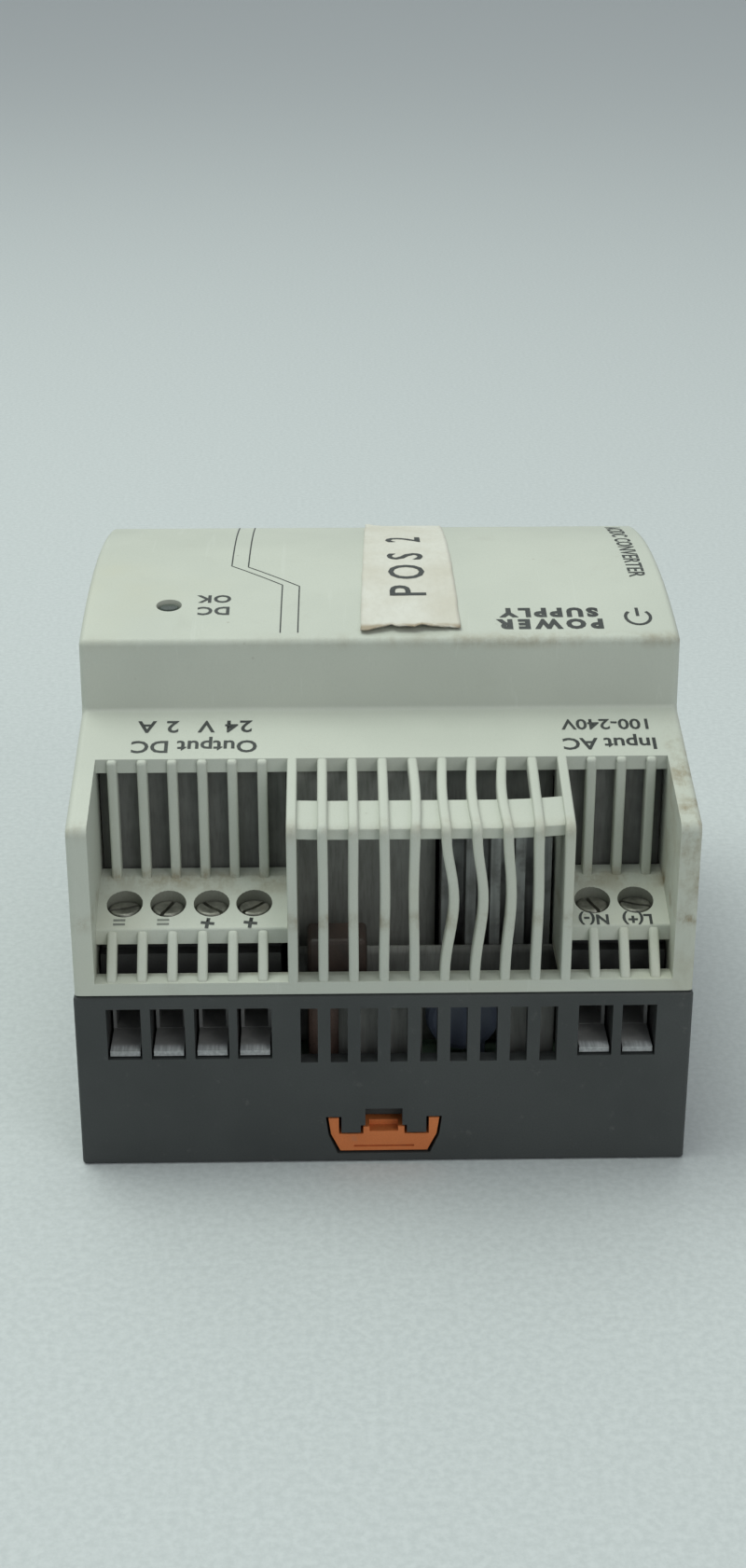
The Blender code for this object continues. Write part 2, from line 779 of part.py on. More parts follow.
def build_e_core(prefix, x, y, width, height, depth, leg, coil_depth, coil_material):
    """A ferrite frame with a centre leg, and a wound coil round that leg."""
    low = PARTS_Z + 1.2
    high = low + height
    half = width / 2
    side = leg / 2
    window_low = low + side
    window_high = high - side
    core = boxes(
        prefix + "_core",
        [((x - half, x + half), (y - depth / 2, y + depth / 2), (low, high))],
        parts,
        FERRITE,
    )
    window_ys = (y - depth / 2 - EPS, y + depth / 2 + EPS)
    boolean(
        core,
        boxes(
            prefix + "_windows",
            [
                ((x - half + side, x - leg / 2), window_ys, (window_low, window_high)),
                ((x + leg / 2, x + half - side), window_ys, (window_low, window_high)),
            ],
            cutters,
        ),
    )
    coil_half = half - side - 0.4
    coil_z = (window_low + 0.4, window_high - 0.4)
    coil = boxes(
        prefix + "_winding",
        [((x - coil_half, x + coil_half), (y - coil_depth / 2, y + coil_depth / 2), coil_z)],
        parts,
        coil_material,
    )
    bevel = coil.modifiers.new("round", "BEVEL")
    bevel.width = 1.6 * MM
    bevel.segments = 3
    bevel.limit_method = "ANGLE"
    boolean(
        coil,
        boxes(
            prefix + "_coil_hole",
            [
                (
                    (x - leg / 2 - 0.4, x + leg / 2 + 0.4),
                    (y - depth / 2 - 0.4, y + depth / 2 + 0.4),
                    (coil_z[0] - EPS, coil_z[1] + EPS),
                )
            ],
            cutters,
        ),
    )
    return core, coil


def build_disc(name, x, y, radius, thickness, material, along="Y", lift=1.4):
    """A dipped disc on two leads, thin along X or Y."""
    centre_z = PARTS_Z + lift + radius
    rotation = Matrix.Rotation(math.radians(90), 4, "X" if along == "Y" else "Y")
    bm = bmesh.new()
    bmesh.ops.create_cone(
        bm,
        cap_ends=True,
        segments=24,
        radius1=radius * MM,
        radius2=radius * MM,
        depth=thickness * MM,
        matrix=Matrix.Translation((x * MM, y * MM, centre_z * MM)) @ rotation,
    )
    disc = finish(bm, name, parts, material)
    bevel = disc.modifiers.new("round", "BEVEL")
    bevel.width = 0.8 * MM
    bevel.segments = 2
    bevel.limit_method = "ANGLE"
    spread = radius * 0.55
    for label, side in (("a", -spread), ("b", spread)):
        lead_x = x + side if along == "Y" else x
        lead_y = y if along == "Y" else y + side
        lead = cylinders(
            f"{name}_lead_{label}", [(lead_x, lead_y, 0.4, (PARTS_Z, centre_z))], cutters, segments=8
        )
        boolean(disc, lead, "UNION")
    return disc


def build_leaded_block(name, xs, ys, zs, leads, material, round_edge=0.5):
    """A moulded block standing on straight leads."""
    block = boxes(name, [(xs, ys, zs)], parts, material)
    bevel = block.modifiers.new("round", "BEVEL")
    bevel.width = round_edge * MM
    bevel.segments = 2
    bevel.limit_method = "ANGLE"
    for index, (x, y) in enumerate(leads):
        lead = boxes(
            f"{name}_lead_{index}",
            [((x - 0.35, x + 0.35), (y - 0.35, y + 0.35), (PARTS_Z, zs[0] + 1.5))],
            cutters,
        )
        boolean(block, lead, "UNION")
    return block


def build_heatsink(name, plate, fins):
    sink = boxes(name, [plate], parts, ALUMINIUM)
    boolean(sink, boxes(name + "_fins", fins, cutters), "UNION")
    return sink


def build_power_package(name, xs, ys, pin_axis):
    """A moulded transistor with a metal tab and three leads."""
    package = boxes(name, [(xs, ys, (15.5, 24.5))], parts, CHIP_BLACK)
    if pin_axis == "X":
        tab = (xs, (ys[0], ys[0] + 1.3), (23.5, 31.0))
        middle = (xs[0] + xs[1]) / 2
        pins = [(middle + step, (ys[0] + ys[1]) / 2) for step in (-2.54, 0.0, 2.54)]
    else:
        tab = ((xs[0], xs[0] + 1.3), ys, (23.5, 31.0))
        middle = (ys[0] + ys[1]) / 2
        pins = [((xs[0] + xs[1]) / 2, middle + step) for step in (-2.54, 0.0, 2.54)]
    boolean(package, boxes(name + "_tab", [tab], cutters), "UNION")
    legs = [((x - 0.4, x + 0.4), (y - 0.3, y + 0.3), (PARTS_Z, 16.5)) for x, y in pins]
    boolean(package, boxes(name + "_legs", legs, cutters), "UNION")
    return package


def build_dip(name, x, y, length, columns):
    """A moulded chip body on two rows of pins."""
    chip = boxes(name, [((x - length / 2, x + length / 2), (y - 3.2, y + 3.2), (11.6, 14.9))], parts, CHIP_BLACK)
    pins = []
    for column in range(columns):
        pin_x = x + 2.54 * (column - (columns - 1) / 2)
        for side in (-1, 1):
            pins.append(((pin_x - 0.4, pin_x + 0.4), tuple(sorted((y + side * 2.9, y + side * 3.8))), (PARTS_Z, 13.6)))
    boolean(chip, boxes(name + "_pins", pins, cutters), "UNION")
    return chip


def build_fuse(x, ys):
    """A cartridge fuse lying in two end caps on short feet."""
    middle = (ys[0] + ys[1]) / 2
    z = 14.2
    turn = Matrix.Rotation(math.radians(90), 4, "X")
    bm = bmesh.new()
    bmesh.ops.create_cone(
        bm,
        cap_ends=True,
        segments=24,
        radius1=2.3 * MM,
        radius2=2.3 * MM,
        depth=(ys[1] - ys[0] - 1.0) * MM,
        matrix=Matrix.Translation((x * MM, middle * MM, z * MM)) @ turn,
    )
    fuse = finish(bm, "fuse", parts, CERAMIC)
    for label, cap_y in (("a", ys[0] + 2.5), ("b", ys[1] - 2.5)):
        bm = bmesh.new()
        bmesh.ops.create_cone(
            bm,
            cap_ends=True,
            segments=24,
            radius1=2.6 * MM,
            radius2=2.6 * MM,
            depth=5.0 * MM,
            matrix=Matrix.Translation((x * MM, cap_y * MM, z * MM)) @ turn,
        )
        boolean(fuse, finish(bm, f"fuse_cap_{label}", cutters), "UNION")
        foot = ((x - 1.5, x + 1.5), (cap_y - 0.4, cap_y + 0.4), (PARTS_Z, z))
        boolean(fuse, boxes(f"fuse_foot_{label}", [foot], cutters), "UNION")
    return fuse


def build_toroid(name, x, y, radius, bore, height, material):
    top = PARTS_Z + 0.4 + height
    low = PARTS_Z + 0.4
    profile = [
        (bore, top - 1.0),
        (bore + 1.0, top),
        (radius - 1.0, top),
        (radius, top - 1.0),
        (radius, low + 1.0),
        (radius - 1.0, low),
        (bore + 1.0, low),
        (bore, low + 1.0),
    ]
    return turned(name, profile, x, y, parts, material, 28, closed=True)


def dome_height(y):
    """Height of the cover's front surface at a distance along the unit."""
    half = HALF_H - RISER_Y
    rise = DEPTH - DOME_EDGE_Z
    radius = (half * half + rise * rise) / (2 * rise)
    return DEPTH - radius + math.sqrt(radius * radius - y * y)


def build_indicator():
    led_top = 15.2
    led = [
        (0.0, led_top),
        (0.8, led_top - 0.25),
        (1.35, led_top - 0.9),
        (1.5, led_top - 1.6),
        (1.5, 12.0),
        (1.9, 12.0),
        (1.9, PARTS_Z),
        (0.0, PARTS_Z),
    ]
    turned("status_led", led, LED_X, LED_Y, parts, LED_GREEN, 20)
    top = dome_height(LED_Y) - 0.15
    guide = [
        (0.0, top),
        (GUIDE_RADIUS - 0.2, top - 0.05),
        (GUIDE_RADIUS, top - 0.3),
        (GUIDE_RADIUS, 17.0),
        (1.7, 16.4),
        (1.7, 15.6),
        (0.0, 15.6),
    ]
    turned("light_guide", guide, LED_X, LED_Y, parts, CLEAR_ACRYLIC, 20)


def build_electronics():
    build_board()
    build_board_screws()
    build_indicator()
    build_e_core("transformer", 4.0, 20.0, 30.0, 27.0, 12.0, 9.0, 19.0, TAPE_YELLOW)
    build_e_core("line_choke", 23.0, 5.0, 18.0, 18.0, 7.0, 5.0, 13.0, ENAMEL_COPPER)
    build_can("bulk_capacitor", 4.0, -14.0, 9.0, 34.0, CAN_DARK)
    build_can("output_capacitor_1", -15.5, -23.2, 5.0, 21.0, CAN_DARK)
    build_can("output_capacitor_2", -15.5, -12.0, 5.0, 21.0, CAN_DARK)
    build_toroid("output_inductor", -17.5, 6.0, 8.0, 3.2, 8.0, ENAMEL_COPPER)
    build_disc("suppression_capacitor", 9.5, -38.5, 4.4, 3.6, EPOXY_BLUE)
    build_disc("varistor", 30.5, -17.5, 4.6, 3.0, EPOXY_BLUE, along="X", lift=0.8)
    build_disc("inrush_thermistor", 18.0, -18.0, 4.4, 3.6, EPOXY_GREEN)
    build_leaded_block(
        "film_capacitor",
        (-8.9, -1.9),
        (-40.5, -35.5),
        (11.6, 27.5),
        ((-7.6, -38.0), (-3.2, -38.0)),
        EPOXY_BROWN,
    )
    build_leaded_block(
        "line_capacitor",
        (14.2, 22.0),
        (-14.0, -3.2),
        (11.4, 25.0),
        ((18.1, -12.5), (18.1, -4.7)),
        CASE_YELLOW,
    )
    build_leaded_block(
        "bridge_rectifier",
        (24.2, 28.2),
        (14.5, 30.0),
        (13.2, 26.0),
        ((26.2, 16.2), (26.2, 19.9), (26.2, 23.6), (26.2, 28.3)),
        CHIP_BLACK,
    )
    build_fuse(26.0, (-24.0, -4.0))
    build_dip("control_chip", -20.0, 33.5, 9.8, 4)
    build_dip("optocoupler", -6.0, 34.5, 4.7, 2)
    build_heatsink(
        "primary_heatsink",
        ((7.0, 20.0), (-30.2, -28.6), (PARTS_Z, 38.0)),
        [((x, x + 1.2), (-35.0, -29.6), (PARTS_Z + 2.0, 38.0 + 0.02)) for x in (7.02, 9.9, 12.8, 15.7, 18.78)],
    )
    build_power_package("switching_transistor", (8.0, 18.0), (-28.3, -23.9), "X")
    build_heatsink(
        "secondary_heatsink",
        ((-30.6, -29.0), (0.0, 31.0), (PARTS_Z, 36.0)),
        [((-31.9, -30.2), (y, y + 1.2), (PARTS_Z + 2.0, 36.0 + 0.02)) for y in (0.02, 6.0, 12.0, 18.0, 24.0, 29.78)],
    )
    build_power_package("output_rectifier", (-28.7, -24.3), (17.0, 27.0), "Y")


def build_terminals():
    build_terminal_body("output_terminal_body", OUTPUT_BODY_X, POLE_XS[:4])
    build_terminal_body("input_terminal_body", INPUT_BODY_X, POLE_XS[4:])
    for index, x in enumerate(POLE_XS, start=1):
        build_cage(index, x)
        build_terminal_screw(index, x)
        build_current_bar(index, x)


build_rear_housing()
build_front_cover()
build_rail_foot()
build_foot_spring()
build_terminals()
build_electronics()
bpy.context.view_layer.update()
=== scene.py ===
"""Looks of the DIN rail power supply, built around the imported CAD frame.

Lengths are in millimetres until they are placed. Y runs along the unit, with the terminals at the low end.
"""

import math

import bmesh
import bpy
from mathutils import Matrix, Vector, noise


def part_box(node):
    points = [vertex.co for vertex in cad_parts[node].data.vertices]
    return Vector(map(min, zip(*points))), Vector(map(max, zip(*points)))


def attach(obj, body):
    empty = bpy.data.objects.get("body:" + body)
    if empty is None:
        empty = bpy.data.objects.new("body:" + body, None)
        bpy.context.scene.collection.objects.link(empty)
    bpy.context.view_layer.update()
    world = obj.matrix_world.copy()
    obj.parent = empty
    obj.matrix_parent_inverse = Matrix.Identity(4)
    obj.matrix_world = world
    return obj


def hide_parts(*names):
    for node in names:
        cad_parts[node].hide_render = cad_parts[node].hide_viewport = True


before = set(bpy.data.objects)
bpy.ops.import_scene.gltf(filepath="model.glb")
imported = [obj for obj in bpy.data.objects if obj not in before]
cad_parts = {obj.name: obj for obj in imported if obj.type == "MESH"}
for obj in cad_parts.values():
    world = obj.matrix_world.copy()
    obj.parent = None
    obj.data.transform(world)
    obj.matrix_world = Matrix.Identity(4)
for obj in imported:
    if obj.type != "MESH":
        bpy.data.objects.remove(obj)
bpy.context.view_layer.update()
MM = 0.001


def middle_of(node, axis):
    """The middle of a CAD node's box along one axis."""
    low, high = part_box(node)
    return (low[axis] + high[axis]) / 2 / MM


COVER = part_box("front_cover")
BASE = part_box("rear_housing")
NEAR = COVER[0].y / MM
HALF_LEN = -NEAR
HALF_W = COVER[1].x / MM
BASE_HALF_W = BASE[1].x / MM
BASE_TOP = BASE[1].z / MM
COVER_BOTTOM = BASE_TOP + 0.2
TOP = COVER[1].z / MM
POLES = [middle_of(f"terminal_screw_{i}", 0) for i in range(1, 7)]
SCREW_Y = middle_of("terminal_screw_1", 1)
HEAD_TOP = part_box("terminal_screw_1")[1].z / MM
LED_X = middle_of("light_guide", 0)
LED_Y = middle_of("light_guide", 1)
RIM_X = 33.4  # inner face of the cover's side walls
PITCH = 3.5
RIBS = [-31.5 + PITCH * i for i in range(19)]
RIB_W = 1.15
LEFT_WALL, RIGHT_WALL = RIBS[6], RIBS[15]  # partitions beside the terminals
BAR_TOP = 24.5  # top of the band under the ribs
SHOULDER_FOOT = 44.0  # height of the shoulder at the end face
SHOULDER_RUN, SHOULDER_HEAD = 21.9, 49.65  # where the riser starts
SHOULDER_RISE = (SHOULDER_HEAD - SHOULDER_FOOT) / SHOULDER_RUN
DOME_EDGE = (22.4, 58.35)
DOME_HALF = HALF_LEN - DOME_EDGE[0]
DOME_RISE = TOP - DOME_EDGE[1]
DOME_R = (DOME_HALF**2 + DOME_RISE**2) / (2 * DOME_RISE)
WALL = 2.0  # of the rear housing
FOOT_NEAR = NEAR + 0.2
SNAP_YS = (-20.0, 20.0)


def near(y):
    """Y in the object's frame of a distance from the terminal end."""
    return y + NEAR


def shoulder_z(y):
    """Height of the sloping shoulder at a distance from the end face."""
    return SHOULDER_FOOT + SHOULDER_RISE * y


def dome_z(y):
    """Height of the raised front at a Y of the object's frame."""
    return TOP - DOME_R + math.sqrt(DOME_R**2 - y * y)


# ------------------------------------------------------------------ mesh helpers


def new_object(name, bm):
    mesh = bpy.data.meshes.new(name)
    bmesh.ops.recalc_face_normals(bm, faces=bm.faces)
    bm.to_mesh(mesh)
    bm.free()
    obj = bpy.data.objects.new(name, mesh)
    bpy.context.scene.collection.objects.link(obj)
    return obj


def put_box(bm, xs, ys, zs):
    size = [(b - a) * MM for a, b in (xs, ys, zs)]
    mid = [(a + b) / 2 * MM for a, b in (xs, ys, zs)]
    bmesh.ops.create_cube(bm, size=1.0, matrix=Matrix.Translation(mid) @ Matrix.Diagonal((*size, 1)))


def boxes(limits):
    bm = bmesh.new()
    for xs, ys, zs in limits:
        put_box(bm, xs, ys, zs)
    return new_object("cutter", bm)


def prism(points, low, high, axis="X", bm=None):
    """A closed outline in (Y, Z), or (X, Z) for axis Y, extruded between two planes."""
    own = bm is None
    bm = bm or bmesh.new()
    ends = []
    for plane in (low, high):
        ring = []
        for a, b in points:
            co = (plane, a, b) if axis == "X" else (a, plane, b)
            ring.append(bm.verts.new([c * MM for c in co]))
        ends.append(ring)
    bm.faces.new(ends[0])
    bm.faces.new(ends[1][::-1])
    count = len(points)
    for i in range(count):
        j = (i + 1) % count
        bm.faces.new((ends[0][i], ends[1][i], ends[1][j], ends[0][j]))
    return new_object("prism", bm) if own else bm


def rounded(points, radii, steps=5, closed=True):
    """The outline with an arc of the given radius at each corner."""
    out = []
    count = len(points)
    for i, (p, r) in enumerate(zip(points, radii)):
        if r <= 0 or (not closed and i in (0, count - 1)):
            out.append(p)
            continue
        p = Vector(p)
        u = Vector(points[i - 1]) - p
        v = Vector(points[(i + 1) % count]) - p
        u.normalize()
        v.normalize()
        half = u.angle(v) / 2
        reach = r / math.tan(half)
        centre = p + (u + v).normalized() * (r / math.sin(half))
        start = p + u * reach - centre
        end = p + v * reach - centre
        for k in range(steps + 1):
            turn = start.lerp(end, k / steps).normalized() * r
            out.append(tuple(centre + turn))
    return out


def apply(obj):
    """Bakes an object's modifiers into its mesh."""
    graph = bpy.context.evaluated_depsgraph_get()
    mesh = bpy.data.meshes.new_from_object(obj.evaluated_get(graph))
    obj.modifiers.clear()
    obj.data = mesh
    return obj


def boolean(obj, other, operation="DIFFERENCE"):
    modifier = obj.modifiers.new("bool", "BOOLEAN")
    modifier.operation = operation
    modifier.solver = "EXACT"
    modifier.object = other
    bpy.context.view_layer.update()
    apply(obj)
    bpy.data.objects.remove(other, do_unlink=True)
    return obj


def bevelled(obj, width, segments=2, angle=30.0):
    bevel = obj.modifiers.new("edges", "BEVEL")
    bevel.width = width * MM
    bevel.segments = segments
    bevel.limit_method = "ANGLE"
    bevel.angle_limit = math.radians(angle)
    bevel.miter_outer = "MITER_ARC"
    bevel.use_clamp_overlap = True
    obj.data.shade_smooth()
    normals = obj.modifiers.new("normals", "WEIGHTED_NORMAL")
    normals.keep_sharp = True
    return obj


def smooth(obj, angle=35.0):
    obj.data.shade_smooth()
    obj.data.set_sharp_from_angle(angle=math.radians(angle))
    return obj


def join(objs, name):
    bm = bmesh.new()
    for obj in objs:
        part = bmesh.new()
        part.from_mesh(obj.data)
        part.transform(obj.matrix_world)
        mesh = bpy.data.meshes.new("tmp")
        part.to_mesh(mesh)
        part.free()
        bm.from_mesh(mesh)
        bpy.data.meshes.remove(mesh)
        bpy.data.objects.remove(obj, do_unlink=True)
    mesh = bpy.data.meshes.new(name)
    bm.to_mesh(mesh)
    bm.free()
    obj = bpy.data.objects.new(name, mesh)
    bpy.context.scene.collection.objects.link(obj)
    return obj


def section(width, depth, radius, steps=3):
    """A rounded rectangle across a rib: sideways from the middle, and inwards from the surface."""
    half = width / 2
    corners = [(-half, 0.0), (half, 0.0), (half, depth), (-half, depth)]
    return rounded(corners, [radius] * 4, steps)


def densify(points, step):
    out = [Vector(points[0])]
    for a, b in zip(points, points[1:]):
        a, b = Vector(a), Vector(b)
        parts = max(1, round((b - a).length / step))
        out += [a.lerp(b, k / parts) for k in range(1, parts + 1)]
    return out


def sweep(bm, path, x, shape, bend=None):
    """Sweeps a rib's section along a path in (Y, Z); bend gives a sideways shift at each point."""
    rings = []
    last = len(path) - 1
    for i, p in enumerate(path):
        tangent = (path[min(i + 1, last)] - path[max(i - 1, 0)]).normalized()
        inward = Vector((tangent.y, -tangent.x))
        shift = bend(p) if bend else 0.0
        ring = []
        for a, b in shape:
            q = p + inward * b
            ring.append(bm.verts.new(((x + shift + a) * MM, q.x * MM, q.y * MM)))
        rings.append(ring)
    count = len(shape)
    for r0, r1 in zip(rings, rings[1:]):
        for k in range(count):
            j = (k + 1) % count
            bm.faces.new((r0[k], r1[k], r1[j], r0[j]))
    bm.faces.new(rings[0])
    bm.faces.new(rings[-1][::-1])


def turned(name, profile, x, y, segments=48, closed=False):
    """A profile of (radius, height) turned about an upright axis."""
    bm = bmesh.new()
    verts = [bm.verts.new((r * MM, 0, z * MM)) for r, z in profile]
    for a, b in zip(verts, verts[1:]):
        bm.edges.new((a, b))
    if closed:
        bm.edges.new((verts[-1], verts[0]))
    bmesh.ops.spin(
        bm, geom=bm.verts[:] + bm.edges[:], cent=(0, 0, 0), axis=(0, 0, 1), angle=2 * math.pi, steps=segments
    )
    bmesh.ops.remove_doubles(bm, verts=bm.verts, dist=1e-7)
    bmesh.ops.translate(bm, verts=bm.verts, vec=(x * MM, y * MM, 0))
    return new_object(name, bm)


# ------------------------------------------------------------------ materials


class Shader:
    """A small builder for procedural materials in object coordinates."""

    def __init__(self, name):
        self.mat = bpy.data.materials.new(name)
        self.mat.use_nodes = True
        self.tree = self.mat.node_tree
        self.bsdf = self.tree.nodes["Principled BSDF"]
        coords = self.tree.nodes.new("ShaderNodeTexCoord")
        self.coord = coords.outputs["Object"]
        split = self.tree.nodes.new("ShaderNodeSeparateXYZ")
        self.link(self.coord, split.inputs[0])
        self.x, self.y, self.z = split.outputs
        self.normal_in = None

    def link(self, a, b):
        self.tree.links.new(a, b)

    def put(self, value, socket):
        if isinstance(value, bpy.types.NodeSocket):
            self.link(value, socket)
        elif isinstance(value, tuple) and len(value) == 3 and len(socket.default_value) == 4:
            socket.default_value = (*value, 1.0)
        else:
            socket.default_value = value

    def math(self, op, a, b=0.0, clamp=False):
        node = self.tree.nodes.new("ShaderNodeMath")
        node.operation = op
        node.use_clamp = clamp
        self.put(a, node.inputs[0])
        self.put(b, node.inputs[1])
        return node.outputs[0]

    def scaled(self, factors):
        node = self.tree.nodes.new("ShaderNodeMapping")
        self.link(self.coord, node.inputs["Vector"])
        node.inputs["Scale"].default_value = factors
        return node.outputs[0]

    def noise(self, scale, detail=4.0, rough=0.55, stretch=None, distort=0.0):
        node = self.tree.nodes.new("ShaderNodeTexNoise")
        self.link(self.scaled(stretch) if stretch else self.coord, node.inputs["Vector"])
        node.inputs["Scale"].default_value = scale
        node.inputs["Detail"].default_value = detail
        node.inputs["Roughness"].default_value = rough
        node.inputs["Distortion"].default_value = distort
        return node.outputs["Fac"]

    def cells(self, scale):
        node = self.tree.nodes.new("ShaderNodeTexVoronoi")
        self.link(self.coord, node.inputs["Vector"])
        node.inputs["Scale"].default_value = scale
        return node.outputs["Distance"]

    def remap(self, value, low, high, to_low=0.0, to_high=1.0):
        node = self.tree.nodes.new("ShaderNodeMapRange")
        node.interpolation_type = "SMOOTHSTEP"
        self.put(value, node.inputs["Value"])
        for key, v in (("From Min", low), ("From Max", high), ("To Min", to_low), ("To Max", to_high)):
            node.inputs[key].default_value = v
        return node.outputs["Result"]

    def band(self, value, centre, reach):
        """One at the centre, falling to zero at the reach, in millimetres."""
        away = self.math("ABSOLUTE", self.math("SUBTRACT", value, centre * MM))
        return self.remap(away, 0.0, reach * MM, 1.0, 0.0)

    def mix(self, factor, a, b, blend="MIX"):
        node = self.tree.nodes.new("ShaderNodeMix")
        node.data_type = "RGBA"
        node.blend_type = blend
        self.put(factor, node.inputs["Factor"])
        self.put(a, node.inputs[6])
        self.put(b, node.inputs[7])
        return node.outputs[2]

    def bump(self, height, strength, distance):
        node = self.tree.nodes.new("ShaderNodeBump")
        node.inputs["Strength"].default_value = strength
        node.inputs["Distance"].default_value = distance * MM
        self.link(height, node.inputs["Height"])
        if self.normal_in:
            self.link(self.normal_in, node.inputs["Normal"])
        self.normal_in = node.outputs["Normal"]

    def done(self, colour, roughness, metallic=0.0, **sockets):
        self.put(colour, self.bsdf.inputs["Base Color"])
        self.put(roughness, self.bsdf.inputs["Roughness"])
        self.bsdf.inputs["Metallic"].default_value = metallic
        for key, value in sockets.items():
            self.bsdf.inputs[key.replace("_", " ")].default_value = value
        if self.normal_in:
            self.link(self.normal_in, self.bsdf.inputs["Normal"])
        return self.mat


def plastic(name, base, dark, light, rough=(0.42, 0.6), grain=0.06, dust=None, scuffs=0.5):
    """Moulded plastic: eroded-mould grain, slow colour drift, fine scuffs and settled dust."""
    s = Shader(name)
    drift = s.noise(60, 3)
    colour = s.mix(s.remap(drift, 0.3, 0.7), dark, light)
    colour = s.mix(0.6, colour, base)
    fine = s.noise(5200, 2, 0.6)
    colour = s.mix(s.remap(fine, 0.35, 0.75, 0.0, 0.35), colour, dark)
    scuff = s.noise(900, 6, 0.7, (1.0, 0.08, 0.3), 0.4)
    marks = s.remap(scuff, 0.6, 0.78)
    colour = s.mix(s.math("MULTIPLY", marks, 0.18 * scuffs), colour, light)
    if dust:
        speck = s.remap(s.noise(420, 8, 0.75), 0.58, 0.72)
        colour = s.mix(s.math("MULTIPLY", speck, 0.35), colour, dust)
    s.bump(fine, grain, 0.05)
    s.bump(scuff, 0.05 * scuffs, 0.05)
    mottle = s.math("ADD", s.math("MULTIPLY", fine, 0.5), s.math("MULTIPLY", scuff, 0.5))
    roughness = s.remap(mottle, 0.35, 0.7, *rough)
    return s.done(colour, roughness, Specular_IOR_Level=0.4)


def metal(name, base, dark, rough=(0.28, 0.5), brush=(1.0, 1.0, 0.05), scale=1800, tarnish=None):
    """Plated or bare metal: drawn lines, cloudy dulling and small dark pits."""
    s = Shader(name)
    lines = s.noise(scale, 5, 0.6, brush)
    cloud = s.noise(350, 4, 0.6)
    colour = s.mix(s.remap(lines, 0.3, 0.7), dark, base)
    if tarnish:
        colour = s.mix(s.remap(cloud, 0.45, 0.75, 0.0, 0.8), colour, tarnish)
    pits = s.remap(s.noise(2600, 3, 0.8), 0.66, 0.74)
    colour = s.mix(s.math("MULTIPLY", pits, 0.5), colour, dark)
    s.bump(lines, 0.12, 0.03)
    s.bump(cloud, 0.05, 0.05)
    return s.done(colour, s.remap(cloud, 0.3, 0.7, *rough), 1.0)


def cover_material():
    """Pale moulded plastic with yellowing, smudges, fine scratches, and grime at the rims and ribs."""
    s = Shader("cover_plastic")
    drift = s.noise(38, 3)
    colour = s.mix(s.remap(drift, 0.3, 0.7), (0.49, 0.52, 0.455), (0.54, 0.57, 0.50))
    fine = s.noise(5600, 2, 0.55)
    colour = s.mix(s.remap(fine, 0.4, 0.75, 0.0, 0.16), colour, (0.40, 0.43, 0.38))
    yellow = s.noise(24, 4, 0.6)
    colour = s.mix(s.remap(yellow, 0.5, 0.8, 0.0, 0.45), colour, (0.56, 0.55, 0.40))
    grime_noise = s.remap(s.noise(240, 7, 0.7, (1.0, 1.0, 1.0)), 0.42, 0.66)
    streak = s.remap(s.noise(520, 6, 0.7, (1.0, 0.35, 0.25)), 0.45, 0.68)
    edge_z = s.math("MULTIPLY", s.band(s.z, 58.1, 1.5), s.remap(s.math("ABSOLUTE", s.y), 0.0205, 0.0222))
    edge_z = s.math("MULTIPLY", edge_z, s.remap(s.x, -0.022, 0.03, 0.25, 1.0))
    rim = s.math("MULTIPLY", s.remap(s.x, 0.0326, 0.0342), s.remap(s.z, 0.026, 0.043, 0.25, 1.0))
    rim = s.math("MULTIPLY", rim, s.remap(s.y, -0.022, -0.036))
    corner = s.math("MULTIPLY", s.band(s.z, 43.8, 2.2), s.remap(s.y, -0.0425, -0.0445))
    rib_foot = s.math("MULTIPLY", s.band(s.z, 32.3, 1.7), s.remap(s.y, -0.031, -0.033, 0.0, 1.0))
    bar = s.math("MULTIPLY", s.band(s.z, 24.6, 0.9), s.remap(s.y, -0.0435, -0.042, 0.0, 0.8))
    dirt = s.math("MULTIPLY", edge_z, 0.55)
    for zone, weight in ((rim, 0.8), (corner, 0.35), (rib_foot, 0.7), (bar, 0.8)):
        dirt = s.math("ADD", dirt, s.math("MULTIPLY", zone, weight))
    patches = s.math("ADD", s.math("MULTIPLY", grime_noise, 0.75), s.math("MULTIPLY", streak, 0.45))
    dirt = s.math("MULTIPLY", dirt, patches, True)
    colour = s.mix(dirt, colour, (0.25, 0.20, 0.115))
    smudge = s.remap(s.noise(120, 6, 0.65, (1.0, 1.0, 1.0), 0.6), 0.56, 0.76)
    colour = s.mix(s.math("MULTIPLY", smudge, 0.16), colour, (0.34, 0.34, 0.28))
    specks = s.remap(s.cells(210), 0.0, 0.055, 1.0, 0.0)
    specks = s.math("MULTIPLY", specks, s.remap(s.noise(33, 2), 0.5, 0.62))
    colour = s.mix(s.math("MULTIPLY", specks, 0.5), colour, (0.20, 0.17, 0.12))
    scratch = s.remap(s.noise(700, 4, 0.6, (1.0, 0.03, 0.2), 0.3), 0.64, 0.70)
    colour = s.mix(s.math("MULTIPLY", scratch, 0.12), colour, (0.68, 0.71, 0.66))
    s.bump(fine, 0.10, 0.04)
    s.bump(drift, 0.06, 0.6)
    s.bump(scratch, 0.04, 0.05)
    rough = s.math("ADD", s.remap(fine, 0.3, 0.7, 0.44, 0.58), s.math("MULTIPLY", dirt, 0.25))
    return s.done(colour, rough, Specular_IOR_Level=0.42)


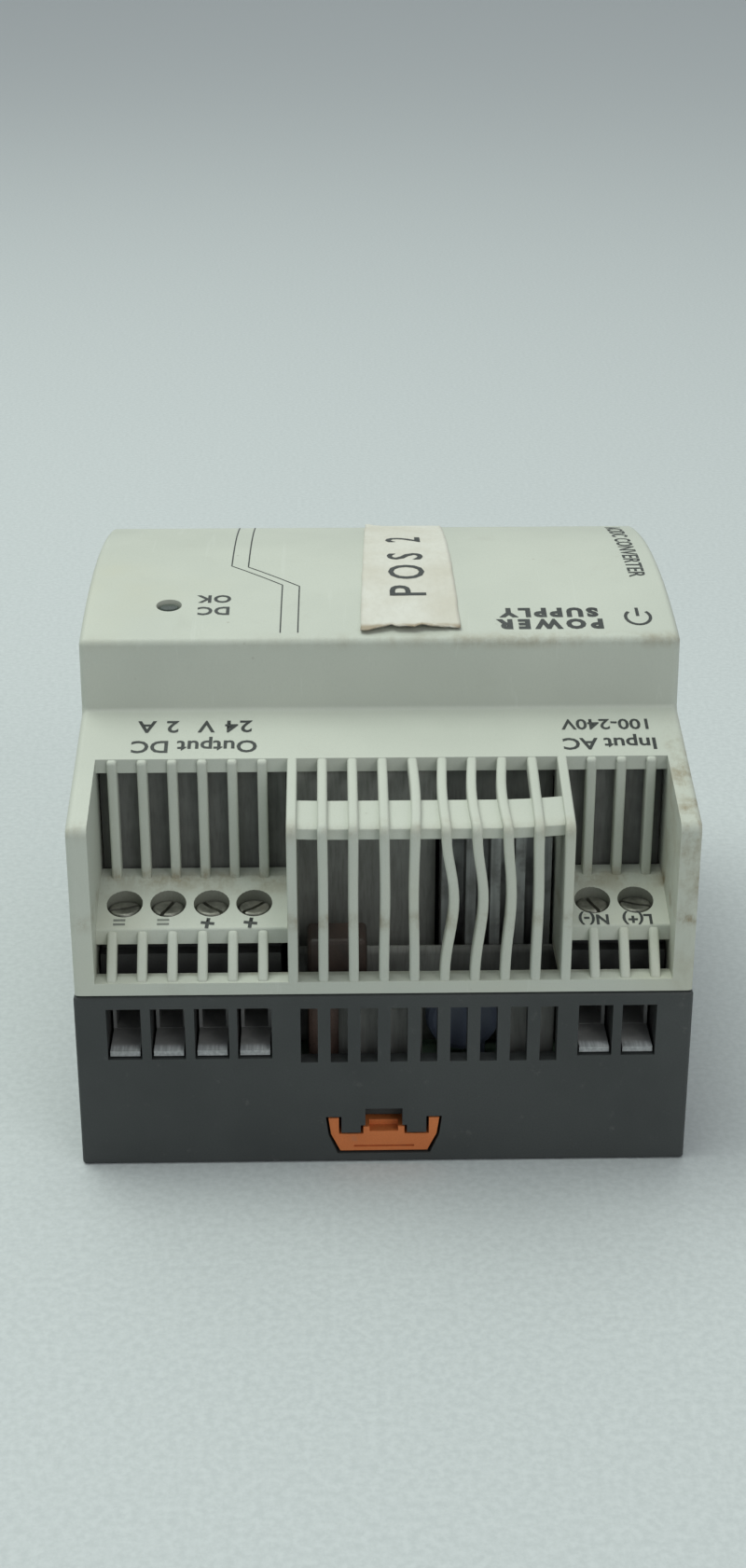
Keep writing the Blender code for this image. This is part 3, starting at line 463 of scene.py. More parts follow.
def case_with_painted_top_shade():
    """Brown capacitor case whose top is painted dark as painted shade."""
    s = Shader("brown_case")
    cloud = s.noise(300, 4)
    case = s.mix(s.remap(cloud, 0.3, 0.7), (0.22, 0.145, 0.115), (0.32, 0.20, 0.16))
    top_shade_colour = s.mix(s.remap(cloud, 0.3, 0.7), (0.06, 0.045, 0.04), (0.10, 0.066, 0.054))
    fine = s.noise(4200, 3, 0.6)
    # Painted shade: the case turns dark from 20.5 to 22.5 mm height upwards, over its top.
    colour = s.mix(s.remap(s.z, 0.0205, 0.0225), case, top_shade_colour)
    colour = s.mix(s.remap(fine, 0.45, 0.75, 0.0, 0.4), colour, (0.05, 0.035, 0.03))
    s.bump(fine, 0.1, 0.04)
    return s.done(colour, s.remap(cloud, 0.3, 0.7, 0.38, 0.6))


def insulating_board():
    """Grey fibre board, painted paler behind the middle ribs and the vent slots as painted light, and darker
    elsewhere as painted shade.
    """
    s = Shader("insulating_board")
    fibre = s.noise(2400, 5, 0.65, (1.0, 1.0, 0.12))
    cloud = s.noise(180, 4)
    # Painted light and shade: a paler copy of the board in the middle block and behind the vent slots, a
    # darker copy elsewhere.
    middle = s.math("MULTIPLY", s.remap(s.x, -0.0125, -0.0115), s.remap(s.x, 0.0075, 0.0065))
    middle = s.math("MAXIMUM", middle, s.remap(s.y, -0.0398, -0.0402))
    shaded_board_colour = s.mix(s.remap(cloud, 0.3, 0.7), (0.115, 0.117, 0.107), (0.165, 0.168, 0.155))
    lit_board_colour = s.mix(s.remap(cloud, 0.3, 0.7), (0.26, 0.263, 0.243), (0.33, 0.334, 0.31))
    colour = s.mix(middle, shaded_board_colour, lit_board_colour)
    colour = s.mix(s.remap(fibre, 0.4, 0.75, 0.0, 0.35), colour, (0.075, 0.075, 0.068))
    s.bump(fibre, 0.2, 0.05)
    return s.done(colour, s.remap(fibre, 0.3, 0.7, 0.55, 0.78))


MATERIALS = {
    "cover": cover_material(),
    "housing": plastic(
        "housing_plastic", (0.048, 0.053, 0.052), (0.036, 0.040, 0.040), (0.068, 0.074, 0.073),
        (0.40, 0.58), 0.14, (0.13, 0.13, 0.12), 0.9,
    ),
    # Painted shade for the walls of the screw holes in the terminal shelf.
    "recess": plastic(
        "hole_wall_shade", (0.19, 0.20, 0.165), (0.13, 0.13, 0.10), (0.26, 0.27, 0.23),
        (0.5, 0.7), 0.1, (0.12, 0.10, 0.07),
    ),
    "foot": plastic(
        "foot_plastic", (0.64, 0.185, 0.05), (0.48, 0.13, 0.04), (0.75, 0.25, 0.08),
        (0.42, 0.6), 0.1, (0.30, 0.20, 0.13),
    ),
    "terminal": plastic(
        "terminal_plastic", (0.055, 0.056, 0.055), (0.038, 0.038, 0.038), (0.08, 0.08, 0.08),
        (0.4, 0.6), 0.1, (0.1, 0.095, 0.085),
    ),
    "screw": metal(
        "dull_zinc", (0.34, 0.34, 0.30), (0.20, 0.20, 0.175),
        (0.45, 0.66), (1, 1, 0.05), 900, (0.24, 0.23, 0.19),
    ),
    "spring": metal("spring_wire", (0.55, 0.55, 0.55), (0.30, 0.30, 0.30), (0.2, 0.35)),
    "bar": metal(
        "tinned_strip", (0.66, 0.64, 0.60), (0.42, 0.38, 0.32),
        (0.3, 0.5), (0.06, 1, 1), 1800, (0.5, 0.36, 0.22),
    ),
    "heatsink": metal(
        "dark_anodised", (0.46, 0.47, 0.46), (0.28, 0.285, 0.28),
        (0.45, 0.65), (1, 1, 0.04), 1500, (0.24, 0.24, 0.23),
    ),
    "board": plastic(
        "board_lacquer", (0.075, 0.11, 0.08), (0.05, 0.08, 0.055), (0.11, 0.15, 0.115), (0.25, 0.45), 0.2
    ),
    "ferrite": plastic(
        "ferrite_core", (0.045, 0.045, 0.05), (0.025, 0.025, 0.03), (0.09, 0.09, 0.095), (0.5, 0.75), 0.3
    ),
    "tape": plastic(
        "winding_tape", (0.62, 0.42, 0.05), (0.45, 0.28, 0.03), (0.75, 0.56, 0.12), (0.25, 0.4), 0.05
    ),
    "sleeve": plastic(
        "capacitor_sleeve", (0.05, 0.053, 0.065), (0.03, 0.032, 0.04), (0.09, 0.09, 0.11), (0.2, 0.38), 0.05
    ),
    "blue": plastic(
        "blue_epoxy", (0.13, 0.155, 0.22), (0.10, 0.12, 0.17), (0.17, 0.20, 0.27), (0.3, 0.5), 0.12
    ),
    "brown": case_with_painted_top_shade(),
    "liner": insulating_board(),
    "green": plastic(
        "green_epoxy", (0.05, 0.13, 0.06), (0.03, 0.08, 0.04), (0.09, 0.2, 0.1), (0.3, 0.5), 0.15
    ),
    "yellow": plastic(
        "yellow_case", (0.58, 0.46, 0.12), (0.42, 0.32, 0.07), (0.7, 0.58, 0.2), (0.35, 0.5), 0.08
    ),
    "chip": plastic(
        "moulding_compound", (0.018, 0.018, 0.018), (0.01, 0.01, 0.01), (0.04, 0.04, 0.04), (0.4, 0.6), 0.25
    ),
    "ceramic": plastic(
        "fuse_ceramic", (0.62, 0.59, 0.52), (0.48, 0.44, 0.38), (0.74, 0.72, 0.67), (0.35, 0.55), 0.2
    ),
    "copper": metal(
        "enamelled_wire", (0.55, 0.22, 0.09), (0.26, 0.08, 0.03), (0.2, 0.35), (1, 1, 0.02), 1600
    ),
    "ink": plastic(
        "print_ink", (0.028, 0.034, 0.032), (0.018, 0.02, 0.02), (0.09, 0.10, 0.095),
        (0.45, 0.65), 0.2, (0.2, 0.21, 0.19),
    ),
    "pale_ink": plastic(
        "pale_print_ink", (0.20, 0.215, 0.19), (0.15, 0.16, 0.14), (0.28, 0.30, 0.27), (0.45, 0.65), 0.2
    ),
}


def cage_material():
    """Plated steel, painted bright at the lip that shows in the wire entry as painted light, and darker
    further in and on its front face as painted shade.
    """
    s = Shader("zinc_painted_lit_lip")
    lines = s.noise(2600, 5, 0.6, (1.0, 0.05, 1.0))
    cloud = s.noise(420, 4, 0.6)
    # Painted light: the lip's plating colour is made bright, as if the lip were well lit inside the entry.
    colour = s.mix(s.remap(lines, 0.3, 0.7), (0.42, 0.45, 0.45), (0.72, 0.75, 0.75))
    colour = s.mix(s.remap(cloud, 0.5, 0.75, 0.0, 0.5), colour, (0.40, 0.42, 0.40))
    # Painted shade: darker further into the wire entry.
    inside = s.remap(s.y, -0.0438, -0.0428)
    deep_shade_colour = s.mix(s.remap(cloud, 0.4, 0.7), (0.34, 0.345, 0.335), (0.44, 0.445, 0.43))
    colour = s.mix(inside, colour, deep_shade_colour)
    s.bump(lines, 0.15, 0.03)
    # Painted shade: the lip's front-most face, in front of y = -44.5 mm, is darkened by half.
    front = s.remap(s.y, -0.04452, -0.04448)
    colour = s.mix(front, s.mix(0.5, colour, (0.10, 0.10, 0.10)), colour)
    return s.done(colour, s.remap(cloud, 0.3, 0.7, 0.42, 0.6), 0.0)


def paper_material():
    """Aged paper with fibres and stains, with a painted brown shadow along its torn end."""
    s = Shader("aged_paper")
    fibre = s.noise(1500, 6, 0.7, (1.0, 0.5, 1.0))
    stain = s.noise(90, 5, 0.6)
    colour = s.mix(s.remap(stain, 0.35, 0.7), (0.66, 0.66, 0.60), (0.58, 0.56, 0.48))
    colour = s.mix(s.remap(fibre, 0.35, 0.7, 0.0, 0.25), colour, (0.50, 0.49, 0.42))
    # Painted shadow: brown along the torn, lifted near end of the paper.
    tear = s.remap(s.y, -0.0192, -0.0206, 0.0, 0.75)
    colour = s.mix(s.math("MULTIPLY", tear, s.remap(s.noise(420, 5), 0.3, 0.6)), colour, (0.26, 0.19, 0.10))
    s.bump(fibre, 0.25, 0.04)
    s.bump(s.noise(160, 3), 0.25, 0.25)
    return s.done(colour, s.remap(fibre, 0.3, 0.7, 0.62, 0.8), Specular_IOR_Level=0.3)


def glass_like(name, colour, rough):
    """Tinted clear plastic with a cloudy surface."""
    s = Shader(name)
    cloud = s.noise(500, 3)
    shade = s.mix(s.remap(cloud, 0.3, 0.7), colour, tuple(c * 0.7 for c in colour))
    s.bump(cloud, 0.05, 0.1)
    gloss = s.remap(cloud, 0.3, 0.7, rough, rough + 0.12)
    return s.done(shade, gloss, Specular_IOR_Level=0.5, Transmission_Weight=0.35)


MATERIALS["cage"] = cage_material()
MATERIALS["paper"] = paper_material()
MATERIALS["guide"] = glass_like("light_guide_acrylic", (0.10, 0.13, 0.11), 0.12)
MATERIALS["led"] = glass_like("led_lens", (0.08, 0.35, 0.12), 0.1)


def paint(obj, *keys):
    while obj.data.materials:
        obj.data.materials.pop()
    for key in keys:
        obj.data.materials.append(MATERIALS[key])
    return obj


# ------------------------------------------------------------------ cover shell


def outer_profile():
    """The cover's side outline, from the bottom of one end over the front to the other."""
    half = [(0.0, COVER_BOTTOM), (0.0, SHOULDER_FOOT), (SHOULDER_RUN, SHOULDER_HEAD), DOME_EDGE]
    steps = 20
    dome = []
    for k in range(1, steps):
        y = -DOME_HALF + 2 * DOME_HALF * k / steps
        dome.append((y, dome_z(y)))
    points = [(near(y), z) for y, z in half] + dome + [(-near(y), z) for y, z in reversed(half)]
    radii = [0.0, 1.3, 0.6, 0.9] + [0.0] * len(dome) + [0.9, 0.6, 1.3, 0.0]
    return rounded(points, radii, 6)


def inner_profile():
    """The outline of the hollow inside the cover."""
    half = [(1.8, COVER_BOTTOM - 1.0), (1.8, 42.8), (23.5, 48.3), (24.2, 56.9)]
    dome = [(y, dome_z(y) - 1.8) for y in (-16.0, -10.0, -5.0, 0.0, 5.0, 10.0, 16.0)]
    return [(near(y), z) for y, z in half] + dome + [(-near(y), z) for y, z in reversed(half)]


def cushion(points, half, radius, steps=5):
    """A closed (Y, Z) outline extruded along X, with the edges towards both side faces rounded."""
    count = len(points)
    inward = []
    for i in range(count):
        before, here, after = (Vector(points[k % count]) for k in (i - 1, i, i + 1))
        along = (here - before).normalized() + (after - here).normalized()
        normal = Vector((along.y, -along.x)).normalized()
        if here.y <= COVER_BOTTOM + 0.01:
            normal = Vector((math.copysign(1.0, -here.x), 0.0))
        inward.append(normal * (1.0 if here.y > 44.5 else 0.45))
    section_x = []
    for k in range(steps + 1):
        turn = math.pi / 2 * k / steps
        section_x.append((half - radius + radius * math.cos(turn), radius - radius * math.sin(turn)))
    planes = [(-x, d) for x, d in section_x] + [(x, d) for x, d in reversed(section_x)]
    bm = bmesh.new()
    rings = []
    for x, d in planes:
        ring = []
        for p, n in zip(points, inward):
            ring.append(bm.verts.new((x * MM, (p[0] + n.x * d) * MM, (p[1] + n.y * d) * MM)))
        rings.append(ring)
    for a, b in zip(rings, rings[1:]):
        for i in range(count):
            j = (i + 1) % count
            bm.faces.new((a[i], b[i], b[j], a[j]))
    bm.faces.new(rings[0])
    bm.faces.new(rings[-1][::-1])
    return new_object("cushion", bm)


def build_shell():
    """The cover's shell, open where the ribs stand, with the indicator's hole."""
    shell = cushion(outer_profile(), HALF_W, 0.85)
    boolean(shell, prism(inner_profile(), -RIM_X, RIM_X))
    lip = 12.6
    window = [(-1.0, BAR_TOP), (-1.0, 60.0), (lip, 60.0), (lip, 40.0), (3.0, 40.0), (3.0, BAR_TOP)]
    near_window = [(near(y), z) for y, z in window]
    far_window = [(-near(y), z) for y, z in window]
    boolean(shell, prism(near_window, -RIM_X + 0.01, RIM_X - 0.01))
    boolean(shell, prism(far_window, -RIM_X + 0.01, RIM_X - 0.01))
    bm = bmesh.new()
    bmesh.ops.create_cone(
        bm,
        cap_ends=True,
        segments=48,
        radius1=1.55 * MM,
        radius2=1.55 * MM,
        depth=0.02,
        matrix=Matrix.Translation((LED_X * MM, LED_Y * MM, 0.056)),
    )
    boolean(shell, new_object("hole", bm))
    shell.name = "cover_shell"
    return bevelled(shell, 0.22, 3, 28.0)


def rib_bend(index):
    """Sideways shift of the bent ribs, in millimetres, from their height."""
    table = {
        9: (0.08, 0.0, 0.05),
        10: (-0.10, 0.10, -0.12),
        11: (1.0, -0.12, -0.1),
        12: (0.85, -0.18, -0.1),
        13: (0.5, -0.2, 0.05),
        14: (0.15, 0.0, -0.05),
    }
    low, top, lean = table.get(index, (0.05 * math.sin(index * 2.1), 0.0, 0.0))

    def shift(p):
        z = p.y
        t = (z - BAR_TOP) / (43.0 - BAR_TOP)
        if t <= 0:
            return 0.0
        if t < 1:
            bulge = math.sin(math.pi * t**1.15) ** 2
            return low * bulge + lean * math.sin(math.pi * t) * (t - 0.35) * 1.6
        u = (p.x - near(0.0)) / 12.6
        return top * math.sin(math.pi * min(1.0, max(0.0, u))) * 2.0

    return shift


def build_ribs():
    """Every rib of both ends, each swept along the cover's own side outline."""
    bm = bmesh.new()
    sunk = 0.05
    outer = [(sunk, 24.2), (sunk, SHOULDER_FOOT - sunk), (13.2, shoulder_z(13.2) - sunk)]
    outer = rounded(outer, [0, 1.3, 0], 6, closed=False)
    outer = densify(outer, 1.2)
    middle = section(RIB_W, 1.95, 0.3)
    near_path = [Vector((near(p.x), p.y)) for p in outer]
    for index in range(7, 15):
        sweep(bm, near_path, RIBS[index], middle, rib_bend(index))
    far_path = [Vector((-near(p.x), p.y)) for p in reversed(outer)]
    for index in range(19):
        sweep(bm, far_path, RIBS[index], middle)
    upper = [(12.02, 31.6), (12.02, shoulder_z(12.02) - 0.06), (14.2, shoulder_z(14.2) - 0.06)]
    upper = rounded(upper, [0, 0.5, 0], 4, closed=False)
    upper = [Vector((near(p.x), p.y)) for p in densify(upper, 1.5)]
    lower = [(5.4, 29.75), (3.7, 29.1), (1.75, 26.6), (0.35, 24.7), (0.05, 23.8)]
    lower = rounded(lower, [0, 1.6, 3.0, 0.8, 0], 5, closed=False)
    lower = [Vector((near(p.x), p.y)) for p in densify(lower[::-1], 0.8)]
    recess = section(RIB_W, 2.2, 0.28)
    curved = section(RIB_W, 1.5, 0.32)
    for index in (0, 1, 2, 3, 4, 5, 16, 17, 18):
        sweep(bm, upper, RIBS[index], recess)
        sweep(bm, lower, RIBS[index], curved)
    ribs = new_object("cover_ribs", bm)
    return smooth(ribs, 50.0)


def build_walls():
    """The two partitions beside the terminals, the stiffening bars and the bottom flanges."""
    made = []
    outline = [(0.02, 23.6), (0.02, SHOULDER_FOOT), (13.4, shoulder_z(13.4)), (14.5, 46.0), (14.5, 23.6)]
    plate = rounded([(near(y), z) for y, z in outline], [0, 1.3, 0, 0, 0], 6)
    for x in (LEFT_WALL, RIGHT_WALL):
        made.append(prism(plate, x - RIB_W / 2, x + RIB_W / 2))
    walls = join(made, "terminal_partitions")
    bevelled(walls, 0.22, 3)
    bars = []
    bar = [(1.2, 42.0), (1.2, 43.3), (1.9, 43.75), (6.0, 44.75), (6.3, 43.2), (3.4, 42.2), (3.2, 42.0)]
    for sign, low, high in ((1, LEFT_WALL, RIGHT_WALL), (-1, -RIM_X - 0.3, RIM_X + 0.3)):
        bm = bmesh.new()
        path = [(sign * near(y), z) for y, z in bar]
        rings = []
        count = 30
        for k in range(count + 1):
            x = low + (high - low) * k / count
            u = k / count
            lift = 0.0
            if sign > 0:
                lift = 0.42 * max(0.0, (u - 0.72) / 0.28) ** 2 + 0.1 * max(0.0, (0.12 - u) / 0.12)
            rings.append([bm.verts.new((x * MM, a * MM, (b + lift) * MM)) for a, b in path])
        for r0, r1 in zip(rings, rings[1:]):
            for i in range(len(path)):
                j = (i + 1) % len(path)
                bm.faces.new((r0[i], r0[j], r1[j], r1[i]))
        bm.faces.new(rings[0])
        bm.faces.new(rings[-1][::-1])
        bars.append(new_object("bar", bm))
    flange = rounded([(0.5, 23.3), (0.5, 24.42), (3.1, 24.3), (3.1, 23.3)], [0, 0.0, 0.3, 0], 3)
    for sign in (1, -1):
        bars.append(prism([(sign * near(y), z) for y, z in flange], -RIM_X - 0.2, RIM_X + 0.2))
    inner = join(bars, "stiffening_bars")
    bevelled(inner, 0.15, 2)
    return walls, inner


def build_bosses():
    """The sloping shelf over each group of terminals, with a round way to every screw."""
    shape = [(4.0, 27.5), (4.0, 29.5), (12.4, 32.2), (14.1, 32.5), (14.1, 31.0), (5.5, 28.0), (5.5, 27.5)]
    shape = rounded([(near(y), z) for y, z in shape], [0.1, 0.35, 0.3, 0, 0, 0, 0], 4)
    made = []
    for low, high in ((-RIM_X - 0.3, LEFT_WALL), (RIGHT_WALL, RIM_X + 0.3)):
        made.append(prism(shape, low, high))
    boss = join(made, "terminal_shelf")
    bm = bmesh.new()
    for x in POLES:
        bmesh.ops.create_cone(
            bm,
            cap_ends=True,
            segments=56,
            radius1=2.1 * MM,
            radius2=2.1 * MM,
            depth=0.012,
            matrix=Matrix.Translation((x * MM, SCREW_Y * MM, 0.030)),
        )
    boolean(boss, new_object("holes", bm))
    # The walls of the screw holes take the second material, which is painted shade.
    for polygon in boss.data.polygons:
        middle = Vector((polygon.center.x / MM, polygon.center.y / MM))
        way = min((middle - Vector((x, SCREW_Y))).length for x in POLES)
        polygon.material_index = int(way < 2.2 and abs(polygon.normal.z) < 0.2)
    return bevelled(boss, 0.16, 3, 25.0)


def build_liners():
    """Sheets of insulating board that stand close behind the ribs and beside the terminals."""
    made = []
    spans = (
        (-RIM_X + 0.2, LEFT_WALL - 0.8, 27.7, 46.4, -30.3),
        (LEFT_WALL - 0.6, 6.4, 11.2, 46.4, -31.6),
        (6.4, RIGHT_WALL - 0.7, 38.4, 46.4, -30.3),
        (RIGHT_WALL + 0.8, RIM_X - 0.2, 27.7, 46.4, -30.3),
        # Painted shade: the sheet low in the middle block and the two just behind the vent slots stand where
        # the view in shows shade, and give it its grey.
        (LEFT_WALL - 0.6, RIGHT_WALL + 0.3, 11.2, 24.0, -35.25),
        (-5.3, 4.6, 11.2, 22.4, -41.2),
        (14.3, RIGHT_WALL - 0.8, 11.2, 22.4, -41.2),
    )
    for low, high, foot_z, head_z, sheet_y in spans:

        def place(u, v, low=low, high=high, foot_z=foot_z, head_z=head_z, sheet_y=sheet_y):
            z = foot_z + (head_z - foot_z) * v
            y = sheet_y + 0.04 * noise.noise((u * 3 + low, v * 3, 1.0))
            return low + (high - low) * u, y, z

        made.append(surface_mesh("liner", place, 14, 12))
    sheet = join(made, "insulating_sheets")
    solid = sheet.modifiers.new("thickness", "SOLIDIFY")
    solid.thickness = 0.35 * MM
    solid.offset = 0.0
    return smooth(sheet)


def build_snaps():
    """The cover's four snap tongues, whose barbs show in the rear housing's side windows."""
    tongue = ((32.3, 24.6), (33.7, 24.6), (33.7, 19.7), (34.8, 19.5), (33.75, 17.7), (32.3, 17.7))
    half = 3.9
    bm = bmesh.new()
    for y in SNAP_YS:
        for side in (-1, 1):
            prism([(side * x, z) for x, z in tongue], y - half, y + half, "Y", bm)
    return bevelled(new_object("snap_tongues", bm), 0.12, 2)


# ------------------------------------------------------------------ rear housing


def foot_outline(grow):
    """The foot's section in (X, Z); its slot in the housing is the same outline, grown."""
    right = [
        (5.2 + grow, 1.5 - grow),
        (6.3 + grow, 3.8),
        (6.6 + grow, 6.0 + grow),
        (5.35 - grow, 6.0 + grow),
        (5.35 - grow, 3.8 + grow),
        (2.45 + grow, 3.8 + grow),
        (2.45 + grow, 4.8 + grow),
    ]
    return right + [(-x, z) for x, z in reversed(right)]


def build_housing():
    """The rear housing with its rail channel, wire entries, vents and windows, and the board's posts."""
    w, h = BASE_HALF_W, HALF_LEN
    body = boxes([((-w, w), (-h, h), (0.0, BASE_TOP))])
    bevel = body.modifiers.new("corner", "BEVEL")
    bevel.width = 0.45 * MM
    bevel.segments = 4
    bpy.context.view_layer.update()
    apply(body)
    wx, hy = w - WALL, h - WALL
    boolean(body, boxes([((-wx, wx), (-hy, hy), (8.0, BASE_TOP + 1))]))
    boolean(
        body,
        boxes(
            [
                ((-wx, -10.0), (-hy, -20.5), (2.0, 8.5)),
                ((10.0, wx), (-hy, -20.5), (2.0, 8.5)),
                ((-wx, wx), (20.7, hy), (2.0, 8.5)),
            ]
        ),
    )
    channel = [(-18.5, -1.0), (-18.5, 6.0), (18.7, 6.0), (18.7, 4.5), (15.5, 4.5), (15.5, -1.0)]
    boolean(body, prism(channel, -w - 1, w + 1))
    boolean(body, prism(foot_outline(0.3), -h - 1, -17.5, "Y"))
    boolean(body, boxes([((-2.2, 2.2), (-h - 1, near(2.5)), (4.6, 7.4))]))
    boolean(body, boxes([((x - 2.0, x + 2.0), (-h - 1, near(3.0)), (14.4, 21.1)) for x in POLES]))
    vents = []
    for i in range(9):
        x = -8.75 + PITCH * i
        vents.append(((x - 1, x + 1), (-h - 1, near(3.0)), (13.8, 21.0)))
        vents.append(((x - 1, x + 1), (-near(3.0), h + 1), (13.8, 21.0)))
    boolean(body, boxes(vents))
    windows = []
    for y in SNAP_YS:
        for side in (-1, 1):
            xs = tuple(sorted((side * (w + 1), side * (wx - 1))))
            windows.append((xs, (y - 4.3, y + 4.3), (17.4, 20.2)))
    boolean(body, boxes(windows))
    groove = []
    for side in (-1, 1):
        for y0, y1 in ((-44.0, -20.6), (20.8, 44.0)):
            xs = tuple(sorted((side * 33.0, side * 12.0)))
            groove.append((xs, (y0 + 1.2, y1 - 1.2), (-1.0, 0.5)))
    boolean(body, boxes(groove))
    body.name = "housing_shell"
    bevelled(body, 0.2, 3, 30.0)
    posts = []
    ring = [(1.3, 8.6), (1.5, 8.7), (3.2, 8.7), (3.4, 8.5), (3.6, 2.3), (4.2, 1.8), (1.3, 1.8)]
    for i in range(1, 5):
        screw = f"board_screw_{i}"
        posts.append(turned("post", ring, middle_of(screw, 0), middle_of(screw, 1), 32, True))
    post = smooth(join(posts, "board_posts"))
    return body, post


# ------------------------------------------------------------------ small hardware


def build_foot():
    """The rail foot: a slide with a stepped nose, a spring pocket, a pull slot and a fine groove."""
    foot = prism(foot_outline(0.0), FOOT_NEAR, -18.8, "Y")
    for half, low, top in ((4.9, 1.8, 3.7), (2.3, 2.4, 4.7)):
        nose = [(-20.0, low), (-17.2, low), (-16.0, low + 0.9), (-16.0, top), (-20.0, top)]
        boolean(foot, prism(nose, -half, half), "UNION")
    boolean(foot, boxes([((-2.0, 2.0), (-36.0, -24.0), (0.5, 6.5))]))
    boolean(foot, boxes([((-1.7, 1.7), (-46.0, -43.2), (4.15, 6.5))]))
    boolean(foot, boxes([((-3.6, 3.6), (-46.0, -44.5), (2.0, 2.25))]))
    foot.name = "foot_moulding"
    return bevelled(foot, 0.2, 3, 30.0)


def build_screw(index, x):
    """A slotted terminal screw: dished head with a slot, and a threaded shank."""
    top = HEAD_TOP
    crest, root, thread_pitch = 1.1, 0.95, 0.5
    dish = [(0.0, -0.12), (0.7, -0.09), (1.35, -0.02), (1.62, -0.03), (1.78, -0.12), (1.85, -0.3)]
    profile = [(r, top + drop) for r, drop in dish] + [(1.85, 27.7), (1.75, 27.6), (crest, 27.6)]
    z = 27.3
    while z > 21.0:
        profile += [(crest, z), (root, z - thread_pitch / 2)]
        z -= thread_pitch
    profile += [(1.05, 20.6), (0.8, 20.1), (0.0, 20.1)]
    screw = turned(f"screw_{index}_body", profile, x, SCREW_Y, 56)
    slot = boxes([((-3.0, 3.0), (-0.24, 0.24), (top - 0.55, top + 1.0))])
    angle = (0.35, 1.2, 2.3, 0.8, 1.9, 2.75)[index - 1]
    slot.matrix_world = Matrix.Translation((x * MM, SCREW_Y * MM, 0)) @ Matrix.Rotation(angle, 4, "Z")
    bpy.context.view_layer.update()
    boolean(screw, slot)
    smooth(screw, 40.0)
    return screw


def surface_mesh(name, to_world, columns, rows):
    """A sheet of quads over a grid, with each corner placed by a function of its column and row."""
    bm = bmesh.new()
    grid = []
    for i in range(columns + 1):
        places = [to_world(i / columns, j / rows) for j in range(rows + 1)]
        grid.append([bm.verts.new([c * MM for c in place]) for place in places])
    for i in range(columns):
        for j in range(rows):
            bm.faces.new((grid[i][j], grid[i + 1][j], grid[i + 1][j + 1], grid[i][j + 1]))
    return new_object(name, bm)


def build_sticker():
    """A strip of paper stuck along the front: torn and lifted at the near end, creased over the far edge."""
    left, right = -2.1, 9.9
    length = 47.5
    far_edge = DOME_HALF

    def place(u, v):
        wobble = 0.10 * noise.noise((v * 14, u * 2, 3.0))
        x = left + (right - left) * u + 0.5 * v * (0.5 - u) * 2 + wobble
        x += 0.9 * v * (1 - u) - 0.25
        tear = 0.32 * noise.noise((u * 4.3, 0.5, 1.7)) + 0.24 * noise.noise((u * 17, 2.5, 0.7))
        tear += 0.35 * max(0.0, 1 - abs(u - 0.3) / 0.06)
        start = near(23.9) + 0.5 * (u - 0.4) + tear
        y = start + length * v
        lift = 0.10 + 0.05 * noise.noise((u * 3, v * 9, 0.3))
        edge = max(0.0, 1 - (y - start) / 2.6)
        curl = 0.75 * edge**2 * (0.35 + 0.65 * math.sin(u * 2.6 + 0.4) ** 2)
        curl += 0.2 * edge * noise.noise((u * 9, 1.0, 5.0))
        if y <= far_edge:
            z = dome_z(y) + lift + max(0.0, curl)
        else:
            over = y - far_edge
            z = dome_z(far_edge) + lift - 0.9 * over
            y = far_edge + 0.25 * over
        if u < 0.3 and v > 0.9:
            z += 1.6 * (0.3 - u) * (v - 0.9) * 25
        return x, y, min(z, TOP + 1.1)

    sheet = surface_mesh("paper_sticker", place, 26, 110)
    solid = sheet.modifiers.new("thickness", "SOLIDIFY")
    solid.thickness = 0.14 * MM
    solid.offset = 0.0
    return smooth(sheet, 60)


def drape(obj, height, offset=0.035):
    """Lays a flat mesh on a surface whose height is a function of X and Y in millimetres."""
    for vertex in obj.data.vertices:
        x, y, _ = vertex.co
        vertex.co.z = (height(x / MM, y / MM) + offset) * MM
    return obj


def on_dome(_x, y):
    return dome_z(y)


def on_shoulder(_x, y):
    return shoulder_z(y - NEAR)


def on_shelf(_x, y):
    return 29.5 + (y - NEAR - 4.0) * 2.7 / 8.4


def lettering(text, x, y, size, angle, height, bold=0.0, spacing=1.0):
    """Printed characters centred on a point, turned about Z and laid on a surface."""
    curve = bpy.data.curves.new("text", "FONT")
    curve.body = text
    curve.size = size * MM
    curve.align_x = "CENTER"
    curve.align_y = "CENTER"
    curve.space_character = spacing
    curve.offset = bold * MM
    curve.resolution_u = 3
    obj = bpy.data.objects.new("text", curve)
    bpy.context.scene.collection.objects.link(obj)
    obj.matrix_world = Matrix.Translation((x * MM, y * MM, 0)) @ Matrix.Rotation(math.radians(angle), 4, "Z")
    bpy.context.view_layer.update()
    graph = bpy.context.evaluated_depsgraph_get()
    mesh = bpy.data.meshes.new_from_object(obj.evaluated_get(graph))
    mesh.transform(obj.matrix_world)
    mesh.materials.clear()
    bpy.data.objects.remove(obj, do_unlink=True)
    made = bpy.data.objects.new("text", mesh)
    bpy.context.scene.collection.objects.link(made)
    return drape(made, height)


def ribbon(points, width, height):
    """A printed line through points in (X, Y), laid on a surface."""
    path = densify(points, 1.0)
    bm = bmesh.new()
    rows = []
    last = len(path) - 1
    for i, p in enumerate(path):
        tangent = (path[min(i + 1, last)] - path[max(i - 1, 0)]).normalized()
        side = Vector((-tangent.y, tangent.x)) * width / 2
        rows.append([bm.verts.new(((p + s * side).x * MM, (p + s * side).y * MM, 0)) for s in (-1, 1)])
    for a, b in zip(rows, rows[1:]):
        bm.faces.new((a[0], a[1], b[1], b[0]))
    return drape(new_object("ribbon", bm), height, 0.03)


